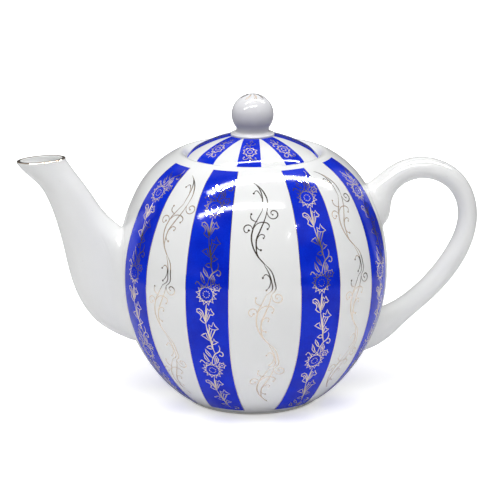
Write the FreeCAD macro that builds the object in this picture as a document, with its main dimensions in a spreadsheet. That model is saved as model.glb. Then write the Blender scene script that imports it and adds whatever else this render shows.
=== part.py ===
import FreeCAD, Part
import math
import os
import Sketcher

# A round porcelain teapot: thrown pot, S-shaped spout with a strainer behind it, ear handle,
# and a lid with a ball knob that sits in a sunk gallery. Millimetres, +Z up, origin in the
# middle of the foot on the table, spout towards -X, handle towards +X.

POT = {
    "belly_radius": 67.2,       # half the widest breadth
    "belly_height": 66.6,       # height of the widest level
    "belly_fullness": 1.0243,   # profile round the belly against one plain arc down to the foot
    "base_fullness": 0.69,      # radius of the profile below the belly against the belly's
    "shoulder_arc": 44.0,       # radius of the profile at the shoulder
    "shoulder_rise": 39.4,      # belly level up to where the shoulder arc begins
    "wall": 4.0,
    "lip_radius": 3.0,          # rounding of the mouth's rim
    "gallery_depth": 4.0,       # top of the rim down to the ledge that carries the lid
    "ledge_width": 3.0,
    "ledge_thickness": 3.6,
    "foot_radius": 34.0,
    "foot_height": 1.3,
    "foot_step": 0.8,           # foot's side out to the base curve
    "foot_width": 4.5,
    "foot_recess": 2.0,         # hollow of the underside inside the foot ring
    "floor_thickness": 3.5,
}
STRAINER = {
    "port_radius": 10.0,        # round port in the wall behind the spout
    "port_drop": 8.6,           # belly level down to the port's middle
    "strainer_thickness": 3.0,
    "strainer_inset": 2.3,      # widest radius of the pot in to the plate's outer face
    "hole_radius": 1.0,
    "inner_ring": 3.8,          # radii of the two rings of holes
    "outer_ring": 7.4,
}
LID = {
    "brim_radius": 32.5,
    "brim_height": 1.0,
    "seat_clearance": 0.5,      # round the brim in the gallery
    "skirt_clearance": 0.5,     # round the skirt in the throat
    "skirt_wall": 3.0,
    "skirt_depth": 11.5,
    "lid_wall": 3.3,
    "edge_arc": 14.0,           # rounded shoulder of the dome
    "edge_drop": 7.3,           # top of the brim down to that rounding's centre
    "cap_arc": 55.0,            # crown of the dome
    "vent_radius": 1.2,
    "vent_offset": 17.5,        # lid's axis to the vent, on the far side
}
KNOB = {
    "disc_radius": 10.75,
    "disc_thickness": 1.2,
    "neck_radius": 8.05,
    "ball_radius": 10.3,
    "ball_height": 10.2,        # underside of the disc to the ball's middle
}
SPOUT = {
    "spout_wall": 2.8,
    "spout_lip": 1.9,           # thinner wall at the mouth
    "spout_floor": 6.0,         # thickness under the bore at the spout's lower end
}
INNER_RING_HOLES = 6
OUTER_RING_HOLES = 12

# Oval sections along the spout and the handle. Each has its middle's distance outwards from the
# belly's widest radius and upwards from the belly level, the slope of its depth in degrees, its
# depth in the plane of the spout and the handle, and its width across that plane.
COLUMNS = ("out", "up", "slope", "depth", "width")
SPOUT_SECTIONS = {
    "mouth": (36.5, 56.1, 3.7, 23.0, 17.5),
    "flare": (32.5, 50.6, 0.0, 24.0, 17.0),
    "neck": (27.1, 44.4, 0.0, 22.0, 17.0),
    "stem": (22.7, 37.4, 0.0, 22.4, 17.6),
    "waist": (18.5, 29.4, 0.0, 24.8, 18.6),
    "swell": (13.2, 21.4, 0.0, 30.9, 20.2),
    "elbow": (6.6, 11.4, 0.0, 39.5, 22.4),
    "flank": (2.1, -2.6, 0.0, 42.6, 24.6),
    "hip": (-1.6, -16.6, 0.0, 39.2, 25.6),
    "root": (-6.6, -27.6, 0.0, 31.2, 24.6),
    "toe": (-18.2, -38.3, 0.0, 12.0, 16.0),
}
HANDLE_SECTIONS = {
    "upper_core": (-17.2, 26.0, 110.0, 22.5, 15.0),
    "upper_root": (-6.2, 30.2, 110.5, 22.5, 15.0),
    "chin": (-3.4, 33.0, 113.0, 21.0, 14.6),
    "rise": (-0.6, 38.8, 111.0, 15.2, 13.8),
    "bend": (7.3, 46.4, 105.0, 11.2, 13.0),
    "crest": (18.3, 48.7, 90.0, 10.5, 12.8),
    "brow": (34.6, 41.1, 45.0, 9.9, 12.6),
    "back": (41.0, 24.9, 2.0, 9.4, 12.4),
    "waning": (34.5, 2.7, -32.0, 10.6, 12.6),
    "tail": (17.5, -17.6, -48.0, 10.6, 13.0),
    "heel": (6.3, -26.5, -56.0, 12.4, 13.8),
    "lower_root": (-3.0, -31.8, -77.0, 17.2, 15.0),
    "lower_core": (-17.2, -35.6, -80.0, 19.0, 15.0),
}

# Sizes worked out from the driving ones: centres of the tangent arcs, of which the base's meets
# the belly's and runs down to the foot, and the levels at which the lid and its knob sit.
DERIVED = {
    "foot_in": "sizes.belly_radius - sizes.foot_radius - sizes.foot_step",
    "foot_down": "sizes.belly_height - sizes.foot_height",
    "belly_arc": "sizes.belly_fullness * (foot_in ^ 2 + foot_down ^ 2) / (2 * foot_in)",
    "belly_x": "sizes.belly_radius - belly_arc",
    "shoulder_reach": "sqrt(belly_arc ^ 2 - sizes.shoulder_rise ^ 2)",
    "shoulder_x": "belly_x + (1 - sizes.shoulder_arc / belly_arc) * shoulder_reach",
    "shoulder_z": "sizes.belly_height + (1 - sizes.shoulder_arc / belly_arc) * sizes.shoulder_rise",
    "base_arc": "sizes.base_fullness * belly_arc",
    "base_shift": "belly_arc - base_arc",
    "foot_reach": "sqrt((belly_arc - foot_in) ^ 2 + foot_down ^ 2)",
    "turn_cos": "(foot_reach ^ 2 + base_shift ^ 2 - base_arc ^ 2) / (2 * base_shift * foot_reach)",
    "turn_sin": "sqrt(1 - turn_cos ^ 2)",
    "base_cos": "((belly_arc - foot_in) * turn_cos + foot_down * turn_sin) / foot_reach",
    "base_sin": "(foot_down * turn_cos - (belly_arc - foot_in) * turn_sin) / foot_reach",
    "base_drop": "belly_arc * base_sin",
    "base_x": "belly_x + base_shift * base_cos",
    "base_z": "sizes.belly_height - base_shift * base_sin",
    "inner_scale": "1 - sizes.wall / belly_arc",
    "gallery_radius": "sizes.brim_radius + sizes.seat_clearance",
    "throat_radius": "gallery_radius - sizes.ledge_width",
    "lip_x": "gallery_radius + sizes.lip_radius",
    "lip_z": "shoulder_z + sqrt((sizes.shoulder_arc - sizes.lip_radius) ^ 2 - (lip_x - shoulder_x) ^ 2)",
    "seat_z": "lip_z + sizes.lip_radius - sizes.gallery_depth",
    "floor_z": "sizes.foot_recess + sizes.floor_thickness",
    "skirt_radius": "throat_radius - sizes.skirt_clearance",
    "edge_z": "sizes.brim_height - sizes.edge_drop",
    "edge_x": "sizes.brim_radius - sqrt(sizes.edge_arc ^ 2 - sizes.edge_drop ^ 2)",
    "cap_z": "edge_z - sqrt((sizes.cap_arc - sizes.edge_arc) ^ 2 - edge_x ^ 2)",
    "land_z": "cap_z + sqrt(sizes.cap_arc ^ 2 - sizes.disc_radius ^ 2)",
    "port_z": "sizes.belly_height - sizes.port_drop",
    "strainer_x": "sizes.belly_radius - sizes.strainer_inset",
}

# A sketch's own numbers for a curve's points, and for its two axes.
START, END, CENTRE = range(1, 4)
POT_AXIS, FLOOR_AXIS = range(-2, 0)
ORIGIN = (FLOOR_AXIS, START)

doc = FreeCAD.newDocument("teapot")
sizes = doc.addObject("Spreadsheet::Sheet", "sizes")
derived = doc.addObject("Spreadsheet::Sheet", "derived")


def fill(sheet, values):
    """Write each value in a cell named after it."""
    for row, (alias, value) in enumerate(values.items(), 1):
        sheet.set(f"A{row}", alias)
        sheet.set(f"B{row}", str(value))
        sheet.setAlias(f"B{row}", alias)


def section_sizes(piece, sections):
    """Name the columns of a table of sections after the piece and the section."""
    return {
        f"{piece}_{place}_{column}": value
        for place, row in sections.items()
        for column, value in zip(COLUMNS, row)
    }


def size(alias):
    """Number in a named cell of either sheet."""
    sheet = derived if alias in DERIVED else sizes
    return float(getattr(sheet, alias))


class Profile:
    """A dimensioned sketch on one of its body's own origin planes."""

    def __init__(self, body, name, role):
        self.sketch = body.newObject("Sketcher::SketchObject", name)
        plane = next(f for f in body.Origin.OriginFeatures if f.Role == role)
        self.sketch.AttachmentSupport = [(plane, "")]
        self.sketch.MapMode = "FlatFace"

    def line(self, start, end):
        return self.sketch.addGeometry(Part.LineSegment(FreeCAD.Vector(*start), FreeCAD.Vector(*end)))

    def chain(self, *points):
        """Straight runs through the points, joined end to end; returns their numbers."""
        runs = [self.line(a, b) for a, b in zip(points, points[1:])]
        for first, second in zip(runs, runs[1:]):
            self.join(first, END, second, START)
        return runs

    def circle(self, centre, radius):
        return self.sketch.addGeometry(Part.Circle(FreeCAD.Vector(*centre), FreeCAD.Vector(0, 0, 1), radius))

    def arc(self, centre, radius, start, end):
        """Arc about a centre, anticlockwise from the start's direction to the end's."""
        angles = [math.atan2(p[1] - centre[1], p[0] - centre[0]) for p in (start, end)]
        round_arc = Part.Circle(FreeCAD.Vector(*centre), FreeCAD.Vector(0, 0, 1), radius)
        return self.sketch.addGeometry(Part.ArcOfCircle(round_arc, *angles))

    def rule(self, kind, *where):
        self.sketch.addConstraint(Sketcher.Constraint(kind, *where))

    def join(self, first, first_end, second, second_end):
        self.rule("Coincident", first, first_end, second, second_end)

    def smooth(self, first, first_end, second, second_end):
        self.rule("Tangent", first, first_end, second, second_end)

    def level(self, *runs):
        for run in runs:
            self.rule("Horizontal", run)

    def upright(self, *runs):
        for run in runs:
            self.rule("Vertical", run)

    def size(self, kind, *where, to):
        """Dimension bound to an expression on the sheets."""
        value = float(self.sketch.evalExpression(to))
        number = self.sketch.addConstraint(Sketcher.Constraint(kind, *where, value))
        self.sketch.setExpression(f"Constraints[{number}]", to)

    def radius(self, curve, to):
        self.size("Radius", curve, to=to)

    def across(self, curve, end, to):
        self.size("DistanceX", *ORIGIN, curve, end, to=to)

    def height(self, curve, end, to):
        self.size("DistanceY", *ORIGIN, curve, end, to=to)


def new_body(label):
    body = doc.addObject("PartDesign::Body", label)
    body.Label = label
    return body


def revolve(body, profile):
    """Turn a profile once round the pot's upright axis."""
    turned = body.newObject("PartDesign::Revolution", f"{body.Label}_turned")
    turned.Profile = profile.sketch
    turned.ReferenceAxis = (profile.sketch, ["V_Axis"])
    turned.Angle = 360.0
    doc.recompute()
    return turned


def pocket(body, profile, name, against_normal=True):
    """Cut a profile right through to one side of its plane, and see that it cut."""
    before = body.Shape.Volume
    cut = body.newObject("PartDesign::Pocket", name)
    cut.Profile = profile.sketch
    cut.Type = "ThroughAll"
    cut.Reversed = not against_normal
    doc.recompute()
    if not body.Shape.Volume < before:
        raise RuntimeError(f"{name} cuts nothing")
    return cut


def along(centre, radius, height):
    """Point of a circle at a height, on its outer side."""
    return centre[0] + math.sqrt(radius ** 2 - (height - centre[1]) ** 2), height


def outer_wall(profile):
    """Foot, base, belly, shoulder and rim of the pot's outside; returns foot and lip numbers."""
    belly = (size("belly_x"), size("belly_height"))
    base = (size("base_x"), size("base_z"))
    shoulder = (size("shoulder_x"), size("shoulder_z"))
    lip = (size("lip_x"), size("lip_z"))
    foot = (size("foot_radius"), size("foot_height"))
    low = along(base, size("base_arc"), foot[1])
    base_joint = along(belly, size("belly_arc"), belly[1] - size("base_drop"))
    shoulder_joint = along(belly, size("belly_arc"), belly[1] + size("shoulder_rise"))
    reach = size("shoulder_arc") / (size("shoulder_arc") - size("lip_radius"))
    lip_joint = tuple(c + reach * (p - c) for c, p in zip(shoulder, lip))
    lip_end = (size("gallery_radius"), lip[1])

    foot_side, foot_top = profile.chain((foot[0], 0), foot, low)
    base_run = profile.arc(base, size("base_arc"), low, base_joint)
    belly_run = profile.arc(belly, size("belly_arc"), base_joint, shoulder_joint)
    shoulder_run = profile.arc(shoulder, size("shoulder_arc"), shoulder_joint, lip_joint)
    lip_run = profile.arc(lip, size("lip_radius"), lip_joint, lip_end)
    profile.upright(foot_side)
    profile.level(foot_top)
    profile.join(foot_top, END, base_run, START)
    profile.smooth(base_run, END, belly_run, START)
    profile.smooth(belly_run, END, shoulder_run, START)
    profile.smooth(shoulder_run, END, lip_run, START)
    profile.rule("Horizontal", lip_run, CENTRE, lip_run, END)
    profile.rule("PointOnObject", foot_side, START, FLOOR_AXIS)
    profile.across(foot_side, START, "sizes.foot_radius")
    profile.height(foot_side, END, "sizes.foot_height")
    profile.across(belly_run, CENTRE, "derived.belly_x")
    profile.height(belly_run, CENTRE, "sizes.belly_height")
    profile.radius(belly_run, "derived.belly_arc")
    profile.radius(base_run, "derived.base_arc")
    profile.radius(shoulder_run, "sizes.shoulder_arc")
    profile.radius(lip_run, "sizes.lip_radius")
    profile.height(belly_run, START, "sizes.belly_height - derived.base_drop")
    profile.height(belly_run, END, "sizes.belly_height + sizes.shoulder_rise")
    profile.across(lip_run, END, "derived.gallery_radius")
    return foot_side, lip_run, belly_run


def build_envelope():
    """The pot's outside as one full solid, which trims the spout's and the handle's roots."""
    body = new_body("pot_envelope")
    profile = Profile(body, "envelope_profile", "XZ_Plane")
    foot_side, lip_run, _ = outer_wall(profile)
    top = size("lip_z")
    lid_line, axis_line, table_line = profile.chain(
        (size("gallery_radius"), top), (0, top), (0, 0), (size("foot_radius"), 0))
    profile.join(lip_run, END, lid_line, START)
    profile.join(table_line, END, foot_side, START)
    profile.level(lid_line)
    profile.rule("PointOnObject", axis_line, START, POT_AXIS)
    profile.join(axis_line, END, *ORIGIN)
    revolve(body, profile)
    return body


def build_pot():
    """Pot body: wall, gallery for the lid, floor and foot ring, with the port for the strainer."""
    body = new_body("pot_body")
    profile = Profile(body, "pot_profile", "XZ_Plane")
    foot_side, lip_run, belly_run = outer_wall(profile)

    scale = size("inner_scale")
    belly = (size("belly_x"), size("belly_height"))
    base = (size("base_x"), size("base_z"))
    shoulder = (size("shoulder_x"), size("shoulder_z"))
    inner_belly = size("belly_arc") - size("wall")
    inner_base = size("base_arc") - size("wall")
    inner_shoulder = size("shoulder_arc") - size("wall")
    under = size("seat_z") - size("ledge_thickness")
    throat = size("throat_radius")
    under_end = along(shoulder, inner_shoulder, under)
    upper_joint = along(belly, inner_belly, belly[1] + scale * size("shoulder_rise"))
    lower_joint = along(belly, inner_belly, belly[1] - scale * size("base_drop"))
    floor_end = along(base, inner_base, size("floor_z"))
    foot_inside = size("foot_radius") - size("foot_width")
    recess = size("foot_recess")

    gallery, ledge, throat_side, underside = profile.chain(
        (size("gallery_radius"), size("lip_z")), (size("gallery_radius"), size("seat_z")),
        (throat, size("seat_z")), (throat, under), under_end)
    shoulder_run = profile.arc(shoulder, inner_shoulder, upper_joint, under_end)
    inner_run = profile.arc(belly, inner_belly, lower_joint, upper_joint)
    base_run = profile.arc(base, inner_base, floor_end, lower_joint)
    floor, axis, hollow, foot_inner, foot_sole = profile.chain(
        floor_end, (0, size("floor_z")), (0, recess), (foot_inside, recess), (foot_inside, 0),
        (size("foot_radius"), 0))

    profile.join(lip_run, END, gallery, START)
    profile.join(underside, END, shoulder_run, END)
    profile.smooth(inner_run, END, shoulder_run, START)
    profile.smooth(base_run, END, inner_run, START)
    profile.join(base_run, START, floor, START)
    profile.join(foot_sole, END, foot_side, START)
    profile.upright(gallery, throat_side, foot_inner)
    profile.level(ledge, underside, floor, hollow, foot_sole)
    profile.rule("PointOnObject", axis, START, POT_AXIS)
    profile.rule("PointOnObject", axis, END, POT_AXIS)
    profile.height(ledge, START, "derived.seat_z")
    profile.across(throat_side, START, "derived.throat_radius")
    profile.height(throat_side, END, "derived.seat_z - sizes.ledge_thickness")
    profile.join(inner_run, CENTRE, belly_run, CENTRE)
    profile.radius(inner_run, "derived.belly_arc - sizes.wall")
    profile.radius(shoulder_run, "sizes.shoulder_arc - sizes.wall")
    profile.radius(base_run, "derived.base_arc - sizes.wall")
    profile.height(inner_run, END, "sizes.belly_height + derived.inner_scale * sizes.shoulder_rise")
    profile.height(inner_run, START, "sizes.belly_height - derived.inner_scale * derived.base_drop")
    profile.height(floor, START, "derived.floor_z")
    profile.height(axis, END, "sizes.foot_recess")
    profile.across(foot_inner, START, "sizes.foot_radius - sizes.foot_width")
    revolve(body, profile)

    port = Profile(body, "port_outline", "YZ_Plane")
    ring = port.circle((0, size("port_z")), size("port_radius"))
    port.rule("PointOnObject", ring, CENTRE, POT_AXIS)
    port.height(ring, CENTRE, "derived.port_z")
    port.radius(ring, "sizes.port_radius")
    pocket(body, port, "port")
    return body


def build_strainer():
    """Flat pierced plate that fills the port, with two rings of holes about a middle one."""
    body = new_body("spout_strainer")

    def plate_circle(name, lift, radius_alias):
        profile = Profile(body, name, "YZ_Plane")
        ring = profile.circle((0, size("port_z") + lift), size(radius_alias))
        profile.rule("PointOnObject", ring, CENTRE, POT_AXIS)
        profile.radius(ring, f"sizes.{radius_alias}")
        profile.sketch.setExpression("AttachmentOffset.Base.z", "-derived.strainer_x")
        return profile, ring

    outline, ring = plate_circle("plate_outline", 0.0, "port_radius")
    outline.height(ring, CENTRE, "derived.port_z")
    plate = body.newObject("PartDesign::Pad", "plate")
    plate.Profile = outline.sketch
    plate.setExpression("Length", "sizes.strainer_thickness")
    doc.recompute()

    middle, ring = plate_circle("middle_hole_outline", 0.0, "hole_radius")
    middle.height(ring, CENTRE, "derived.port_z")
    pocket(body, middle, "middle_hole", against_normal=False)
    for name, count in (("inner_ring", INNER_RING_HOLES), ("outer_ring", OUTER_RING_HOLES)):
        hole, ring = plate_circle(f"{name}_outline", size(name), "hole_radius")
        hole.height(ring, CENTRE, f"derived.port_z + sizes.{name}")
        first = pocket(body, hole, f"{name}_hole", against_normal=False)
        rings = body.newObject("PartDesign::PolarPattern", f"{name}_holes")
        rings.Originals = [first]
        rings.Axis = (outline.sketch, ["N_Axis"])
        rings.Angle = 360.0
        rings.Occurrences = count
        body.Tip = rings
        doc.recompute()
    return body


def build_lid():
    """Lid on its own seat level: brim, rounded dome, flat land for the knob, skirt and vent."""
    body = new_body("lid")
    profile = Profile(body, "lid_profile", "XZ_Plane")
    edge = (size("edge_x"), size("edge_z"))
    cap = (0.0, size("cap_z"))
    brim_top = (size("brim_radius"), size("brim_height"))
    reach = size("cap_arc") / (size("cap_arc") - size("edge_arc"))
    cap_joint = tuple(c + reach * (p - c) for c, p in zip(cap, edge))
    land = (size("disc_radius"), size("land_z"))
    inner_cap = size("cap_arc") - size("lid_wall")
    skirt_in = size("skirt_radius") - size("skirt_wall")
    under_dome = (skirt_in, cap[1] + math.sqrt(inner_cap ** 2 - skirt_in ** 2))
    apex = (0.0, cap[1] + inner_cap)

    skirt_inner, skirt_foot, skirt_outer, brim_under, brim_side = profile.chain(
        under_dome, (skirt_in, -size("skirt_depth")), (size("skirt_radius"), -size("skirt_depth")),
        (size("skirt_radius"), 0), (size("brim_radius"), 0), brim_top)
    edge_run = profile.arc(edge, size("edge_arc"), brim_top, cap_joint)
    cap_run = profile.arc(cap, size("cap_arc"), cap_joint, land)
    land_run, axis = profile.chain(land, (0, land[1]), apex)
    inner_run = profile.arc(cap, inner_cap, under_dome, apex)

    profile.join(brim_side, END, edge_run, START)
    profile.smooth(edge_run, END, cap_run, START)
    profile.join(cap_run, END, land_run, START)
    profile.join(axis, END, inner_run, END)
    profile.join(inner_run, START, skirt_inner, START)
    profile.upright(skirt_inner, skirt_outer, brim_side)
    profile.level(skirt_foot, land_run)
    profile.rule("PointOnObject", brim_under, START, FLOOR_AXIS)
    profile.rule("PointOnObject", brim_under, END, FLOOR_AXIS)
    profile.rule("PointOnObject", land_run, END, POT_AXIS)
    profile.rule("PointOnObject", axis, END, POT_AXIS)
    profile.rule("PointOnObject", cap_run, CENTRE, POT_AXIS)
    profile.join(inner_run, CENTRE, cap_run, CENTRE)
    profile.across(brim_side, START, "sizes.brim_radius")
    profile.height(brim_side, END, "sizes.brim_height")
    profile.radius(edge_run, "sizes.edge_arc")
    profile.height(edge_run, CENTRE, "derived.edge_z")
    profile.radius(cap_run, "sizes.cap_arc")
    profile.across(land_run, START, "sizes.disc_radius")
    profile.radius(inner_run, "sizes.cap_arc - sizes.lid_wall")
    profile.across(skirt_outer, START, "derived.skirt_radius")
    profile.across(skirt_inner, END, "derived.skirt_radius - sizes.skirt_wall")
    profile.height(skirt_inner, END, "-sizes.skirt_depth")
    revolve(body, profile)

    vent = Profile(body, "vent_outline", "XY_Plane")
    ring = vent.circle((0, size("vent_offset")), size("vent_radius"))
    vent.rule("PointOnObject", ring, CENTRE, POT_AXIS)
    vent.height(ring, CENTRE, "sizes.vent_offset")
    vent.radius(ring, "sizes.vent_radius")
    pocket(body, vent, "vent", against_normal=False)
    body.setExpression("Placement.Base.z", "derived.seat_z")
    return body


def build_knob():
    """Ball knob on a thin round-edged disc, which stands on the lid's flat land."""
    body = new_body("lid_knob")
    profile = Profile(body, "knob_profile", "XZ_Plane")
    half = size("disc_thickness") / 2
    edge = (size("disc_radius") - half, half)
    neck = size("neck_radius")
    ball = (0.0, size("ball_height"))
    neck_top = (neck, ball[1] - math.sqrt(size("ball_radius") ** 2 - neck ** 2))
    top = (0.0, ball[1] + size("ball_radius"))

    axis, sole = profile.chain(top, (0, 0), (edge[0], 0))
    edge_run = profile.arc(edge, half, (edge[0], 0), (edge[0], 2 * half))
    disc_top, neck_side = profile.chain((edge[0], 2 * half), (neck, 2 * half), neck_top)
    ball_run = profile.arc(ball, size("ball_radius"), neck_top, top)

    profile.join(axis, END, *ORIGIN)
    profile.smooth(sole, END, edge_run, START)
    profile.smooth(edge_run, END, disc_top, START)
    profile.join(neck_side, END, ball_run, START)
    profile.join(ball_run, END, axis, START)
    profile.upright(axis, neck_side)
    profile.level(sole, disc_top)
    profile.rule("PointOnObject", ball_run, CENTRE, POT_AXIS)
    profile.radius(edge_run, "sizes.disc_thickness / 2")
    profile.across(edge_run, CENTRE, "sizes.disc_radius - sizes.disc_thickness / 2")
    profile.across(neck_side, START, "sizes.neck_radius")
    profile.height(ball_run, CENTRE, "sizes.ball_height")
    profile.radius(ball_run, "sizes.ball_radius")
    revolve(body, profile)
    body.setExpression("Placement.Base.z", "derived.seat_z + derived.land_z")
    return body


def oval_loft(name, piece, sections, side, drawn_in=None, lifted=None):
    """Solid through the piece's oval sections, some drawn in or lifted by named sizes."""
    ovals = []
    for place in sections:
        at = f"sizes.{piece}_{place}"
        trim = f" - sizes.{drawn_in[place]}" if drawn_in else ""
        lift = f" + sizes.{lifted[place]}" if lifted and place in lifted else ""
        oval = doc.addObject("Part::Ellipse", f"{name}_{place}")
        deep = size(f"{piece}_{place}_depth") >= size(f"{piece}_{place}_width")
        major, minor = ("depth", "width") if deep else ("width", "depth")
        quarter = "" if deep else " * rotation(vector(0; 0; 1); 90)"
        oval.setExpression("MajorRadius", f"{at}_{major} / 2{trim}")
        oval.setExpression("MinorRadius", f"{at}_{minor} / 2{trim}")
        outward = f"{side} * (sizes.belly_radius + {at}_out)"
        middle = f"vector({outward}; 0; sizes.belly_height + {at}_up{lift})"
        turn = f"rotation(vector(0; 1; 0); -{at}_slope){quarter}"
        oval.setExpression("Placement", f"placement({middle}; {turn})")
        ovals.append(oval)
    loft = doc.addObject("Part::Loft", name)
    loft.Sections = ovals
    loft.Solid = True
    return loft


def cut(label, base, tool):
    piece = doc.addObject("Part::Cut", label)
    piece.Label = label
    piece.Base = base
    piece.Tool = tool
    return piece


def build_spout(envelope):
    """Hollow S-shaped spout whose root follows the pot's outside."""
    walls = {place: "spout_lip" if place == "mouth" else "spout_wall" for place in SPOUT_SECTIONS}
    outside = oval_loft("spout_outside", "spout", SPOUT_SECTIONS, -1)
    bore = oval_loft("spout_bore", "spout", SPOUT_SECTIONS, -1, walls,
                     {"mouth": "spout_lip", "toe": "spout_floor"})
    trimmed = cut("spout_trimmed", outside, envelope)
    return cut("spout", trimmed, bore)


def build_handle(envelope):
    """Ear handle with a broad upper root and a tapering tail, luted on the pot's outside."""
    bar = oval_loft("handle_bar", "handle", HANDLE_SECTIONS, 1)
    return cut("handle", bar, envelope)


def check(pieces):
    """Stop at any failed object or any piece that isn't one valid solid."""
    failed = [o.Name for o in doc.Objects if {"Invalid", "Error"} & set(o.State)]
    for piece in pieces:
        shape = piece.Shape
        if shape.isNull() or not shape.isValid() or len(shape.Solids) != 1:
            failed.append(piece.Label)
    if failed:
        raise RuntimeError("failed: " + ", ".join(failed))


def main():
    fill(sizes, {**POT, **STRAINER, **LID, **KNOB, **SPOUT, **section_sizes("spout", SPOUT_SECTIONS),
                 **section_sizes("handle", HANDLE_SECTIONS)})
    doc.recompute()
    fill(derived, {alias: "=" + formula for alias, formula in DERIVED.items()})
    doc.recompute()
    envelope = build_envelope()
    pieces = [build_pot(), build_spout(envelope), build_strainer(), build_handle(envelope),
              build_lid(), build_knob()]
    doc.recompute()
    check(pieces)
    os.makedirs("parts", exist_ok=True)
    for piece in pieces:
        piece.Shape.exportStep(f"parts/{piece.Label}.step")
        box = piece.Shape.BoundBox
        print(f"{piece.Label}: {piece.Shape.Volume:.0f} mm3, X {box.XMin:.1f} to {box.XMax:.1f},"
              f" Y {box.YMin:.1f} to {box.YMax:.1f}, Z {box.ZMin:.1f} to {box.ZMax:.1f}")


main()
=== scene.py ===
"""A round porcelain teapot with cobalt stripes and fired gold ornament, dressed on its frame."""

import bisect
import logging
import math
from collections.abc import Callable, Iterable, Iterator, Sequence
from dataclasses import dataclass, field, replace
from enum import Enum
from typing import NamedTuple

import bmesh
import bpy
import numpy as np
from mathutils import Matrix, Vector

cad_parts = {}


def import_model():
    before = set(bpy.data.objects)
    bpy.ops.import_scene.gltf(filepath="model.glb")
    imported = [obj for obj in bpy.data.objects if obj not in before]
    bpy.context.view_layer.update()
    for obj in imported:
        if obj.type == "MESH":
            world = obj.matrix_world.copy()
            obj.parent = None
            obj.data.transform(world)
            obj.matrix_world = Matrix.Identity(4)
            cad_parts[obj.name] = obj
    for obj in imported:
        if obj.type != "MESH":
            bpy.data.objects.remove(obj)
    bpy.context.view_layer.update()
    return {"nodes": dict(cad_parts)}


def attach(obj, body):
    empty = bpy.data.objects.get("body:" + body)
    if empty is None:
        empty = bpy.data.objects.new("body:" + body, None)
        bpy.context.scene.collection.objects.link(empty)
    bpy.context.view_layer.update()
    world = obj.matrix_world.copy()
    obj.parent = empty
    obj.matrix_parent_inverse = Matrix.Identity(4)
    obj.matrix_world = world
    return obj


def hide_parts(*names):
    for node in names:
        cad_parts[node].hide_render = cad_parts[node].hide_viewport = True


log = logging.getLogger("teapot")
MM = 0.001
CREASE = 40.0
FINE_CREASE = 60.0
DRILL_SIDES = 48
Pair = tuple[float, float]
Triple = tuple[float, float, float]
Colour = tuple[float, float, float, float]
Edge = Callable[[float], float]
ANYWHERE: Pair = (-math.inf, math.inf)


class Body(Enum):
    """The two things that move apart: the pot, and the lid that lifts off it."""

    POT = "pot"
    LID = "lid"


class Sock:
    """A shader value, on which Python's own operators add Math nodes."""

    def __init__(self, net: "Net", out: bpy.types.NodeSocket) -> None:
        """Keep the node tree and the socket."""
        self.net = net
        self.out = out

    def math(self, operation: str, *values: "float | Sock") -> "Sock":
        """Add a Math node on the given values."""
        return self.net.node("ShaderNodeMath", {"operation": operation}, dict(enumerate(values)))

    def __add__(self, other: "float | Sock") -> "Sock":
        """Sum."""
        return self.math("ADD", self, other)

    def __sub__(self, other: "float | Sock") -> "Sock":
        """Difference."""
        return self.math("SUBTRACT", self, other)

    def __rsub__(self, other: float) -> "Sock":
        """Difference from a number."""
        return self.math("SUBTRACT", other, self)

    def __mul__(self, other: "float | Sock") -> "Sock":
        """Product."""
        return self.math("MULTIPLY", self, other)

    __radd__ = __add__
    __rmul__ = __mul__

    def most(self, other: "float | Sock") -> "Sock":
        """The greater of two values."""
        return self.math("MAXIMUM", self, other)

    def unsigned(self) -> "Sock":
        """The value without its sign."""
        return self.math("ABSOLUTE", self)

    def step(self, low: float, high: float) -> "Sock":
        """Smooth rise from 0 to 1 between two values."""
        return self.net.node("ShaderNodeMapRange", {"interpolation_type": "SMOOTHSTEP"},
                             {"Value": self, "From Min": low, "From Max": high})

    def fall(self, low: float, high: float) -> "Sock":
        """Smooth fall from 1 to 0 between two values."""
        return 1.0 - self.step(low, high)


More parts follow.
